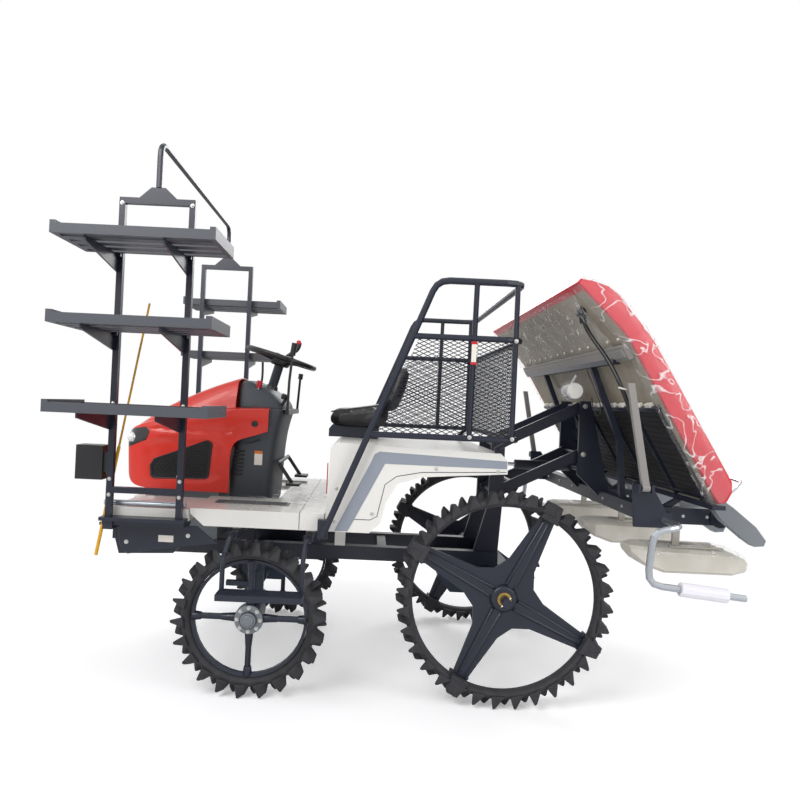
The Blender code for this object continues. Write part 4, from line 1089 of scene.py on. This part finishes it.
belts = []
rollers = []
clips = []
for i in range(LANES):
    middle = -TRAY_Y + STRIP + LANE * (i + 0.5)
    half = LANE * 0.40
    belts.append(slope_block(0.020, 0.420, 0.002, 0.014, middle - half, middle + half, 0.004))
    for k in range(16):
        s = 0.034 + 0.0245 * k
        belts.append(slope_block(s, s + 0.007, 0.0135, 0.0175, middle - half + 0.010,
            middle + half - 0.010, 0))
    rollers.append(rod(on_slope(0.420, 0.013, middle - half - 0.006), on_slope(0.420, 0.013,
        middle + half + 0.006), 0.012, sides=20, edge=0.001))
    for offset in (-0.45, 0.45):
        y = middle + offset * half
        clips.append(slope_block(0.428, 0.446, 0.002, 0.022, y - 0.026, y + 0.026, 0.003))
dress(belts, "feed_belts", BELT_BLACK, "seedling_tray", smooth=0)
dress(rollers, "belt_rollers", POWDER_COAT, "seedling_tray")
dress(clips, "belt_clips", LABEL_WHITE, "seedling_tray")
channel = [
    slope_block(0.640, 0.705, 0.002, 0.024, -TRAY_Y + 0.040, TRAY_Y - 0.040, 0.003),
    slope_block(0.655, 0.690, 0.022, 0.030, -TRAY_Y + 0.060, TRAY_Y - 0.060, 0.002),
]
dress(channel, "tray_slide_channel", GREY_BAR, "seedling_tray")
studs = []
for i in range(14):
    y = -TRAY_Y + 0.10 + i * (2 * TRAY_Y - 0.20) / 13
    studs.append(rod(on_slope(0.728, 0.002, y), on_slope(0.728, 0.010, y), 0.006, sides=14, edge=0.001))
dress(studs, "tray_rivets", LABEL_WHITE, "seedling_tray")
# Side plates of the belt drive, and the square shaft that turns the rollers.
drive = [slope_block(0.010, 0.440, 0.000, 0.020, y - 0.004, y + 0.004,
    0.001) for y in [-TRAY_Y + STRIP + LANE * i for i in range(1, LANES)]]
drive.append(rod(on_slope(0.036, 0.012, -TRAY_Y + 0.040), on_slope(0.036, 0.012, TRAY_Y - 0.040), 0.010,
    sides=4))
dress(drive, "belt_drive_plates", POWDER_COAT, "seedling_tray")
print("tray:", LANES, "lanes of", round(LANE, 3), "m")

# %% [markdown]
# Packing film is a thin polyethylene sheet. It is clear, it shines along its creases, and the colour under it
# looks paler. Its creases come from a coarse and a fine noise that push the sheet in and out.

# %% Film
FILM = surface("clear_polyethylene_film", "FFFFFF", 0.12, alpha=0.16)
film_tree = FILM.node_tree
film_shader = film_tree.nodes["Principled BSDF"]
film_where = add_node(film_tree, "ShaderNodeTexCoord").outputs["Object"]
# Creases about 60 mm apart, whose shine is a painted highlight: thin pale lines where two slopes of the noise
# meet.
crease_noise = add_node(film_tree, "ShaderNodeTexNoise", {"Scale": 1000 / 110, "Detail": 2.0,
    "Distortion": 0.6}, {"Vector": film_where})
ridge = add_node(film_tree, "ShaderNodeMath", {1: 0.5}, {0: crease_noise.outputs["Fac"]},
    operation="SUBTRACT")
fold = add_node(film_tree, "ShaderNodeMath", {}, {0: ridge.outputs[0]}, operation="ABSOLUTE")
line = add_node(film_tree, "ShaderNodeMapRange", {"From Min": 0.0, "From Max": 0.016, "To Min": 0.50,
    "To Max": 0.045}, {"Value": fold.outputs[0]})
film_tree.links.new(line.outputs["Result"], film_shader.inputs["Alpha"])
film_bump = add_node(film_tree, "ShaderNodeBump", {"Strength": 1.0, "Distance": 0.006},
    {"Height": crease_noise.outputs["Fac"]})
film_tree.links.new(film_bump.outputs["Normal"], film_shader.inputs["Normal"])


def crumpled(obj, amount, scale_mm, seed):
    """Pushes each point along its normal by a smooth noise."""
    shift = Vector((seed * 3.7, seed * 1.3, seed * 2.1))
    normals = [v.normal.copy() for v in obj.data.vertices]
    for vertex, normal in zip(obj.data.vertices, normals):
        push = noise.noise(vertex.co * (1000 / scale_mm) + shift)
        push += 0.5 * noise.noise(vertex.co * (2500 / scale_mm) - shift)
        vertex.co += normal * amount * (push * 0.6 + 0.4)
    return obj


def film_grid(name, rows_of_points):
    wide = len(rows_of_points[0])
    mesh = bpy.data.meshes.new(name)
    faces = []
    for i in range(len(rows_of_points) - 1):
        for j in range(wide - 1):
            a = i * wide + j
            faces.append((a, a + 1, a + wide + 1, a + wide))
    mesh.from_pydata([p for row in rows_of_points for p in row], [], faces)
    obj = bpy.data.objects.new(name, mesh)
    bpy.context.scene.collection.objects.link(obj)
    return obj


def film_piece(name, rows_of_points, amount, scale_mm, seed, body):
    obj = film_grid(name, rows_of_points)
    shaped(obj, "SUBSURF", levels=2, render_levels=2)
    crumpled(obj, amount, scale_mm, seed)
    first_edge = [row[0] for row in rows_of_points]
    long = sum((b - a).length for a, b in zip(first_edge, first_edge[1:]))
    shaped(obj, "SOLIDIFY", thickness=0.0005, offset=1.0)
    dress(obj, name, FILM, body, smooth=180)
    return obj


def between(path, count):
    """Points at even steps along a path in the side view."""
    spots = [Vector(p) for p in path]
    lengths = [(b - a).length for a, b in zip(spots, spots[1:])]
    total, found = sum(lengths), []
    for i in range(count):
        left = total * i / (count - 1)
        for a, b, length in zip(spots, spots[1:], lengths):
            if left <= length + 1e-9:
                found.append(a.lerp(b, left / length))
                break
            left -= length
    return found


UNDER_LINE = ((1.812, 0.932), (1.444, 1.556), (1.396, 1.604), (1.297, 1.702), (1.245, 1.753))
OVER_LINE = ((1.862, 1.000), (1.549, 1.550), (1.432, 1.692), (1.362, 1.756), (1.262, 1.781))
for side in SIDES:
    rows_of_points = []
    for under, over in zip(between(UNDER_LINE, 26), between(OVER_LINE, 26)):
        y_in, y_out = side * (TRAY_Y - 0.055), side * (TRAY_Y + 0.004)
        rows_of_points.append(
            [
                place(under.x - 0.012, y_in, under.y - 0.008),
                place(under.x - 0.008, y_out - side * 0.012, under.y - 0.006),
                place(under.x, y_out, under.y),
                place((under.x * 2 + over.x) / 3, y_out + side * 0.002, (under.y * 2 + over.y) / 3),
                place((under.x + over.x * 2) / 3, y_out + side * 0.002, (under.y + over.y * 2) / 3),
                place(over.x, y_out, over.y),
                place(over.x + 0.004, y_out - side * 0.012, over.y + 0.003),
                place(over.x, y_in, over.y),
            ]
        )
    if side > 0:
        rows_of_points = [list(reversed(row)) for row in rows_of_points]
    film_piece(side_name("tray_film_wrap", side), rows_of_points, 0.004, 60, 3 + side, "seedling_tray")
rows_of_points = []
for spot in between(((1.250, 1.748), (1.297, 1.690), (1.380, 1.590), (1.430, 1.540)), 9):
    rows_of_points.append([place(spot.x - 0.012, -TRAY_Y + 0.060 + j * (2 * TRAY_Y - 0.12) / 24,
        spot.y - 0.010) for j in range(25)])
film_piece("tray_film_underside", rows_of_points, 0.014, 150, 9, "seedling_tray")

# %% [markdown]
# ## Fittings under the tray
# A black control tube comes down from the head of the tray along the grey post. A work lamp, still in its
# film, hangs below the channel, and a thin wire loops beside it.

# %% Tube, lamp, wire and bracket
LINK_PINS = (1.060, 1.295)
TUBE_PATH = [
    place(1.318, -0.700, 1.665),
    place(1.325, -0.705, 1.630),
    place(1.352, -0.715, 1.575),
    place(1.405, -0.775, 1.480),
    place(1.440, -0.835, 1.375),
    place(1.490, -0.835, 1.250),
    place(1.548, -0.800, 1.090),
    place(1.600, -0.750, 0.930),
]
control_tube = pipe(TUBE_PATH, 0.0085, sides=4, steps=8)
tube_head = [
    block(place(1.296, -0.722, 1.655), place(1.330, -0.678, 1.690), 0.007, 2),
    rod(place(1.326, -0.703, 1.628), place(1.316, -0.700, 1.668), 0.015, sides=20, edge=0.003),
]
tube_foot = rod(place(1.590, -0.762, 0.958), place(1.606, -0.744, 0.912), 0.013, sides=18, edge=0.002)
dress([control_tube, *tube_head], "control_tube", CONTROL_ABS, "planting_unit")
dress(tube_foot, "control_tube_ferrule", ZINC, "planting_unit")
TIE_SPOT = place(1.444, -0.838, 1.362)
tie = rod(TIE_SPOT + Vector((-0.016, 0, 0.005)), TIE_SPOT + Vector((0.016, 0, -0.002)), 0.004, sides=10,
    edge=0.001)
dress(tie, "tube_tie", LABEL_WHITE, "planting_unit")

lamp_low, lamp_high = place(1.372, -0.390, 1.330), place(1.430, -0.230, 1.392)
lamp_middle = (lamp_low + lamp_high) / 2
lamp_body = rod(lamp_middle + Vector((0, -0.070, 0)), lamp_middle + Vector((0, 0.060, 0)), 0.040,
    sides=32, edge=0.012, end_radius=0.030)
lamp_face = rod(lamp_middle + Vector((0, -0.078, 0)), lamp_middle + Vector((0, -0.066, 0)), 0.036,
    sides=32, edge=0.004)
lamp_arm = pipe([lamp_middle + Vector((0, 0.040, 0)), lamp_middle + Vector((0.020, 0.075, 0.025)),
    place(1.446, -0.250, 1.440)], 0.007, 4, 4)
dress([lamp_body, lamp_arm], "unit_lamp_body", GREY_PLASTIC, "planting_unit")
dress(lamp_face, "unit_lamp_lens", LAMP_GLASS, "planting_unit")
rings = []
for k in range(13):
    y = -0.096 + 0.016 * k
    radius = 0.018 + 0.036 * math.sin(math.pi * min(1.0, (k + 1.5) / 13)) ** 0.6
    turn = [2 * math.pi * j / 20 for j in range(21)]
    rings.append([lamp_middle + Vector((radius * math.cos(a), y, radius * math.sin(a))) for a in turn])
film_piece("unit_lamp_film", rings, 0.005, 30, 4, "planting_unit")
WIRE_LOOP = [place(1.452 + 0.018 * math.sin(a) - 0.012, -0.560 + 0.030 * math.cos(a),
    1.300 + 0.050 * math.cos(a)) for a in (0.5, 1.3, 2.1, 2.9, 3.7, 4.5, 5.3)]
wire = pipe([place(1.420, -0.480, 1.450), place(1.430, -0.520, 1.400), *WIRE_LOOP], 0.0022, 3, 6)
dress(wire, "unit_wire", CONTROL_ABS, "planting_unit")

# Curved arms of the seedling guide, at each lower rear corner.
for side in SIDES:
    y = side * 0.780
    guide = [
        pipe([place(1.790, y, 0.935), place(1.880, y, 0.955), place(1.930, y, 0.985), place(1.950, y,
            1.020)], 0.006, 4, 5),
        pipe([place(1.950, y, 1.018), place(1.955, y - side * 0.150, 1.030), place(1.950,
            y - side * 0.300, 1.018)], 0.006, 4, 5),
    ]
    dress(guide, side_name("seedling_guide", side), CHROME, "planting_unit")

# %% Planting unit: bolts and end caps
cap_pieces = []
unit_bolts = []
for case_y in (-0.600, 0.0, 0.600):
    for x, z in ((1.700, 0.850), (1.800, 0.850), (1.900, 0.850), (1.925, 0.872), (1.925, 0.828)):
        for side in SIDES:
            unit_bolts.append(bolt(place(x, case_y + side * 0.0282, z), (0, side, 0), 0.006, 0.004))
    cap_pieces.append(rod(place(1.955, case_y - 0.031, 0.850), place(1.955, case_y + 0.031, 0.850),
        0.027, sides=28, edge=0.003))
dress(unit_bolts, "case_bolts", ZINC, "planting_unit")
dress(cap_pieces, "case_end_caps", CAST_GREY, "planting_unit")
beam_bolts = [bolt(place(1.5998, y, 0.860), (-1, 0, 0), 0.007, 0.005) for y in (-0.72, -0.48, -0.24,
    0.24, 0.48, 0.72)]
dress(beam_bolts, "beam_bolts", ZINC, "planting_unit")
link_bolts = []
for z in LINK_PINS:
    for side in SIDES:
        link_bolts.append(bolt(place(1.520, side * 0.168, z), (0, side, 0), 0.011, 0.008))
dress(link_bolts, "mast_pin_bolts", ZINC, "planting_unit")

# %% [markdown]
# ## Floats
# Each float is a hollow polyethylene skid with a moulded spine, side grooves and a drain plug. The two outer
# ones keep the film they came in.

# %% Floats
for node, y in (("float_left", 0.600), ("float_centre", 0.0), ("float_right", -0.600)):
    low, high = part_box(node)
    half = (high.y - low.y) / 2 - 0.012
    ribs = []
    for offset in (-0.55, 0.55):
        ribs.append(block((low.x + 0.16, y + offset * half - 0.010, 0.7215), (high.x - 0.08,
            y + offset * half + 0.010, 0.7290), 0.004, 2))
    ribs.append(rod((high.x - 0.10, y, 0.718), (high.x - 0.10, y, 0.7275), 0.014, sides=20, edge=0.003))
    dress(ribs, node + "_spine", FLOAT_PE, BODY_OF[node])
FLOAT_FILM = ((1.600, 0.700), (1.650, 0.732), (1.800, 0.734), (1.960, 0.732), (2.030, 0.722), (2.046,
    0.700), (2.044, 0.660), (2.020, 0.640))
for side in SIDES:
    rows_of_points = []
    for spot in between(FLOAT_FILM, 18):
        row = []
        for k in range(11):
            across = -0.112 + 0.224 * k / 10
            drop = 0.030 * (abs(across) / 0.112) ** 6
            row.append(place(spot.x, side * 0.600 + across, spot.y - drop))
        rows_of_points.append(row)
    film_piece(side_name("float_film", side), rows_of_points, 0.006, 90, 20 + side,
        BODY_OF["float_left"])

# %% [markdown]
# ## Driver's seat
# The seat is foam under black vinyl. Its cushion and its back swell in a short cloth simulation, and welts
# run along the cushion's sides. A shallow channel crosses the cushion.

# %% Seat
SEAT_BODY = BODY_OF["seat"]
VOXEL = 0.006
SWELL_FRAMES = 20


def seat_section(profile, half_width, corner, count=9):
    """A closed form from a side outline whose edges draw in towards both ends."""
    rings = []
    for k in range(count):
        t = -1 + 2 * k / (count - 1)
        draw = (1 - abs(t) ** 6) ** 0.5 if abs(t) < 1 else 0.0
        centre = sum((Vector(p) for p in profile), Vector((0, 0))) / len(profile)
        size = 1 - corner * (1 - draw)
        spots = [centre + (Vector(p) - centre) * size for p in profile]
        rings.append([place(q.x, t * half_width, q.y) for q in spots])
    return rings


def lofted(name, rings):
    count = len(rings[0])
    faces = [tuple(range(count)), tuple(reversed(range(len(rings) * count - count, len(rings) * count)))]
    for i in range(len(rings) - 1):
        for j in range(count):
            a, b = i * count + j, i * count + (j + 1) % count
            faces.append((a, a + count, b + count, b))
    mesh = bpy.data.meshes.new(name)
    mesh.from_pydata([p for ring in rings for p in ring], [], faces)
    obj = bpy.data.objects.new(name, mesh)
    bpy.context.scene.collection.objects.link(obj)
    work = bmesh.new()
    work.from_mesh(mesh)
    bmesh.ops.recalc_face_normals(work, faces=work.faces)
    work.to_mesh(mesh)
    work.free()
    return obj


def swollen(obj, cap, pressure=4.0):
    """Pads the form: cloth under pressure, with each point's travel capped."""
    shaped(obj, "REMESH", mode="VOXEL", voxel_size=VOXEL)
    before = [v.co.copy() for v in obj.data.vertices]
    cloth = obj.modifiers.new("pad", "CLOTH")
    cloth.settings.use_pressure = True
    cloth.settings.uniform_pressure_force = pressure
    cloth.settings.effector_weights.gravity = 0.0
    cloth.point_cache.frame_start = 1
    cloth.point_cache.frame_end = SWELL_FRAMES
    for frame in range(1, SWELL_FRAMES + 1):
        bpy.context.scene.frame_set(frame)
    clear_selection()
    bpy.context.view_layer.objects.active = obj
    obj.select_set(True)
    bpy.ops.object.modifier_apply(modifier=cloth.name)
    bpy.context.scene.frame_set(1)
    for vertex, start in zip(obj.data.vertices, before):
        moved = vertex.co - start
        if moved.length > cap:
            vertex.co = start + moved.normalized() * cap
    shaped(obj, "SMOOTH", factor=0.6, iterations=6)
    shaped(obj, "SUBSURF", levels=1, render_levels=1)
    return obj


CUSHION = ((0.270, 1.162), (0.300, 1.154), (0.520, 1.154), (0.560, 1.170), (0.572, 1.225), (0.555,
    1.258), (0.470, 1.240), (0.380, 1.224), (0.330, 1.222), (0.280, 1.210), (0.266, 1.188))
BACK = ((0.535, 1.225), (0.560, 1.215), (0.590, 1.230), (0.628, 1.330), (0.652, 1.430), (0.646, 1.452),
    (0.622, 1.456), (0.598, 1.440), (0.560, 1.330))
cushion = swollen(lofted("seat_cushion", seat_section(CUSHION, 0.212, 0.35)), 0.012)
dress(cushion, "seat_cushion", SEAT_VINYL, SEAT_BODY, smooth=180)
back = swollen(lofted("seat_back", seat_section(BACK, 0.205, 0.45)), 0.012)
dress(back, "seat_back", SEAT_VINYL, SEAT_BODY, smooth=180)
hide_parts("seat")
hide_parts("seat")
welts = []
for y in (-0.196, 0.196):
    welts.append(pipe([place(x, y, z) for x, z in ((0.285, 1.214), (0.340, 1.226), (0.470, 1.244),
        (0.545, 1.260))], 0.004, 3, 5))
welts.append(pipe([place(0.372, y, 1.230) for y in (-0.190, -0.100, 0.0, 0.100, 0.190)], 0.0035, 3, 5))
dress(welts, "seat_welts", CONTROL_ABS, SEAT_BODY)

# %% [markdown]
# ## Rear body
# The white body has a grey-blue band along its upper edge that turns down at its front, a joint line under
# it, and bolts on its side.

# %% Rear body trim
BAND = ((0.345, 0.722), (0.400, 0.722), (0.545, 1.012), (1.056, 1.012), (1.056, 1.044), (0.520, 1.062),
    (0.500, 1.050), (0.488, 1.020))
JOINT_LINE = ((0.425, 0.775), (0.491, 0.775), (0.519, 0.790), (0.547, 0.925), (0.595, 0.962), (0.700,
    0.984), (1.055, 1.000))
for side in SIDES:
    low, high = sorted((side * 0.6204, side * 0.6216))
    band = plate([(x + AXLE_X, z) for x, z in BAND], "y", low, high, 0.0003)
    dress(band, side_name("body_band", side), STRIPE_GREY, "chassis")
    low, high = sorted((side * 0.6200, side * 0.6206))
    joint = path_sheet(JOINT_LINE, 0.003, low, high)
    dress(joint, side_name("body_joint_line", side), SLATE_ABS, "chassis")
    screws = [bolt(place(x, side * 0.6205, z), (0, side, 0), 0.007, 0.004) for x, z in ((0.345, 0.760),
        (0.345, 0.900), (0.500, 0.800), (0.760, 1.000), (1.020, 1.000))]
    dress(screws, side_name("body_screws", side), ZINC, "chassis")

# %% [markdown]
# ## Racks
# Zinc bolts hold the posts, the shelves have raised lips and ribs, and each joint has a small gusset.

# %% Rack bolts and gussets
POST_X = (-0.583, -0.295)
SHELF_TOPS = (1.225, 1.550, 1.872)
for side in SIDES:
    found = []
    for x in POST_X:
        for z in (0.840, 0.905, *[top - 0.010 for top in SHELF_TOPS], 2.040):
            found.append(bolt(place(x, side * (0.666 + 0.0127), z), (0, side, 0), 0.007, 0.005))
            found.append(bolt(place(x - 0.0127, side * 0.666, z + 0.020), (-1, 0, 0), 0.006, 0.004))
    dress(found, side_name("rack_bolts", side), ZINC, BODY_OF["rack_left" if side > 0 else "rack_right"])
    gussets = []
    for x in POST_X:
        for top in SHELF_TOPS:
            y0, y1 = sorted((side * 0.6790, side * 0.7000))
            gussets.append(block(place(x - 0.010, y0, top - 0.058), place(x + 0.010, y1, top - 0.044),
                0.002, 1))
    dress(gussets, side_name("rack_gussets", side), POWDER_COAT,
        BODY_OF["rack_left" if side > 0 else "rack_right"])
print("body, seat and racks dressed")

# %% [markdown]
# ## Deck, nose rail and guard
# The white deck carries rubber strips, a seam and a loose sheet of packing film. Thin parts at the nose carry
# the racks, and a blank label hangs on the guard's middle post.

# %% Deck and nose trim
RUBBER = surface("deck_rubber_strip", "55565A", 0.70, grain_mm=2.0, depth_mm=0.2)
DECK_Z = 0.790
deck_strips = []
for side in SIDES:
    y0, y1 = sorted((side * 0.380, side * 0.450))
    deck_strips.append(block(place(-0.200, y0, DECK_Z + 0.0003), place(0.130, y1, DECK_Z + 0.0045),
        0.002, 1))
    for k in range(6):
        y = side * (0.389 + 0.0105 * k)
        deck_strips.append(block(place(-0.190, y - 0.0025, DECK_Z + 0.004), place(0.120, y + 0.0025,
            DECK_Z + 0.0062), 0.0008, 1))
dress(deck_strips, "deck_rubber_strips", RUBBER, "chassis")
seam = block(place(0.1945, -0.6205, 0.722), place(0.1975, 0.6205, DECK_Z + 0.0008), 0)
dress(seam, "deck_seam", SLATE_ABS, "chassis")
rows_of_points = []
for i in range(18):
    x = -0.150 + 0.430 * i / 17
    rows_of_points.append([place(x, -0.600 + 1.200 * j / 36, DECK_Z + 0.009) for j in range(37)])
film_piece("deck_film", rows_of_points, 0.006, 70, 41, "chassis")
for side in SIDES:
    y = side * 0.620
    rail = rod(place(-0.620, y, 0.800), place(-0.280, y, 0.800), 0.0125, sides=20, edge=0.002)
    dress(rail, side_name("nose_rail", side), BARE_PIPE, "chassis")
    low, high = sorted((side * 0.598, side * 0.604))
    under = plate(
        [(x + AXLE_X, z) for x, z in ((-0.568, 0.720), (-0.557, 0.621), (-0.523, 0.583),
            (-0.412, 0.605), (-0.142, 0.640), (-0.231, 0.712))],
        "y",
        low,
        high,
        0.002,
    )
    dress(under, side_name("nose_bracket", side), POWDER_COAT, "chassis")
    label = block(place(-0.394, min(side * 0.6035, side * 0.6048), 0.640), place(-0.331,
        max(side * 0.6035, side * 0.6048), 0.668), 0)
    dress(label, side_name("nose_blank_label", side), LABEL_WHITE, "chassis")
    nose_bolts = [bolt(place(x, side * 0.604, z), (0, side, 0), 0.008, 0.005) for x,
        z in ((-0.528, 0.634), (-0.270, 0.670))]
    dress(nose_bolts, side_name("nose_bolts", side), ZINC, "chassis")
    low, high = sorted((side * 0.560, side * 0.585))
    reflector = block(place(0.3010, low, 0.870), place(0.3045, high, 1.000), 0.0012, 1)
    dress(reflector, side_name("body_reflector", side), RED_GRIP, "chassis")
    low, high = sorted((side * (0.655 + 0.0146), side * (0.655 + 0.0165)))
    tag = block(place(0.879, low, 1.450), place(0.899, high, 1.526), 0.0004, 1)
    dress(tag, side_name("guard_blank_label", side), LABEL_WHITE, "chassis")
    ends = [block(place(0.877, low, z), place(0.901, high + 0.0008, z + 0.012), 0.0004,
        1) for z in (1.440, 1.524)]
    dress(ends, side_name("guard_label_ends", side), RED_GRIP, "chassis")
    guard_bolts = [bolt(place(x, side * 0.6696, z), (0, side, 0), 0.008, 0.005) for x,
        z in ((0.886, 1.140), (1.062, 1.140), (1.062, 1.545))]
    dress(guard_bolts, side_name("guard_bolts", side), ZINC, "chassis")
# %% [markdown]
# The stage is a plain pale floor with soft studio light: one large key lamp over the left shoulder, a
# weaker fill and a rim lamp behind. The world is a pale grey, and it looks white only to the camera and in
# reflections, so the machine isn't washed out.

# %% Floor, world and lamps
bpy.ops.object.select_all(action="DESELECT")
bpy.ops.mesh.primitive_plane_add(size=60, location=(0, 0, -0.001))
floor = bpy.context.object
floor.name = "studio_floor"
floor_paint = surface("studio_floor_paper", "F2F2F4", 0.9)
floor.data.materials.append(floor_paint)
# The paper glows a little for the camera and turns wholly white away from the machine, so no horizon shows.
paper = floor_paint.node_tree
paper_shader = paper.nodes["Principled BSDF"]
distance = add_node(
    paper,
    "ShaderNodeVectorMath",
    links={0: add_node(paper, "ShaderNodeTexCoord").outputs["Object"]},
    operation="LENGTH",
)
fade = add_node(paper, "ShaderNodeMapRange", {"From Min": 2.0, "From Max": 4.5},
    {"Value": distance.outputs["Value"]})
paper_path = add_node(paper, "ShaderNodeLightPath")
white = add_node(paper, "ShaderNodeEmission", {"Color": (1, 1, 1, 1), "Strength": 1.0})
shown = add_node(
    paper,
    "ShaderNodeMath",
    links={0: paper_path.outputs["Is Camera Ray"], 1: fade.outputs["Result"]},
    operation="MULTIPLY",
)
joined = add_node(
    paper,
    "ShaderNodeMixShader",
    links={0: shown.outputs[0], 1: paper_shader.outputs[0], 2: white.outputs[0]},
)
paper.links.new(joined.outputs[0], paper.nodes["Material Output"].inputs["Surface"])
glow = add_node(paper, "ShaderNodeMath", {1: 0.30}, {0: paper_path.outputs["Is Camera Ray"]},
    operation="MULTIPLY")
paper_shader.inputs["Emission Color"].default_value = (1, 1, 1, 1)
paper.links.new(glow.outputs[0], paper_shader.inputs["Emission Strength"])

world = bpy.data.worlds.new("studio")
bpy.context.scene.world = world
world.use_nodes = True
sky = world.node_tree
background = sky.nodes["Background"]
background.inputs["Color"].default_value = (1, 1, 1, 1)
path = add_node(sky, "ShaderNodeLightPath")
seen = add_node(
    sky,
    "ShaderNodeMath",
    links={0: path.outputs["Is Camera Ray"], 1: path.outputs["Is Glossy Ray"]},
    operation="MAXIMUM",
)
strength = add_node(
    sky,
    "ShaderNodeMapRange",
    {"To Min": 0.42, "To Max": 1.0},
    {"Value": seen.outputs[0]},
)
sky.links.new(strength.outputs["Result"], background.inputs["Strength"])

LAMPS = (
    # name, place, size, power in watts
    ("key", (-2.6, -3.6, 4.2), 3.0, 170),
    ("fill", (3.6, -3.2, 2.6), 3.0, 70),
    ("rim", (0.6, 4.0, 4.0), 3.0, 120),
)
for name, spot, size, watts in LAMPS:
    bpy.ops.object.light_add(type="AREA", location=spot)
    lamp = bpy.context.object
    lamp.name = "lamp_" + name
    lamp.data.shape = "DISK"
    lamp.data.size = size
    lamp.data.energy = watts
    lamp.rotation_euler = (Vector((0, 0, 0.9)) - Vector(spot)).to_track_quat("-Z", "Y").to_euler()
print("lamps:", len(LAMPS))

# %% [markdown]
# The camera stands at the machine's left, a little ahead of its middle, and is rolled 2.6 degrees as a
# hand-held camera is.

# %% Camera
CAMERA_SPOT = Vector((-0.2009, -3.4046, 1.2618))
CAMERA_TURN = (math.radians(90 + 0.3), math.radians(-2.6), math.radians(-0.17))
SENSOR = 36.0
FOCAL_PIXELS = 664.0
IMAGE_WIDTH = 800.0
camera = bpy.data.objects.new("camera", bpy.data.cameras.new("camera"))
bpy.context.scene.collection.objects.link(camera)
camera.data.sensor_width = SENSOR
camera.data.lens = SENSOR * FOCAL_PIXELS / IMAGE_WIDTH
camera.data.shift_x = 0.035
camera.data.clip_end = 100
camera.location = CAMERA_SPOT
camera.rotation_euler = CAMERA_TURN
bpy.context.scene.camera = camera
bpy.context.scene.view_settings.view_transform = "Standard"

# %% The end
import json
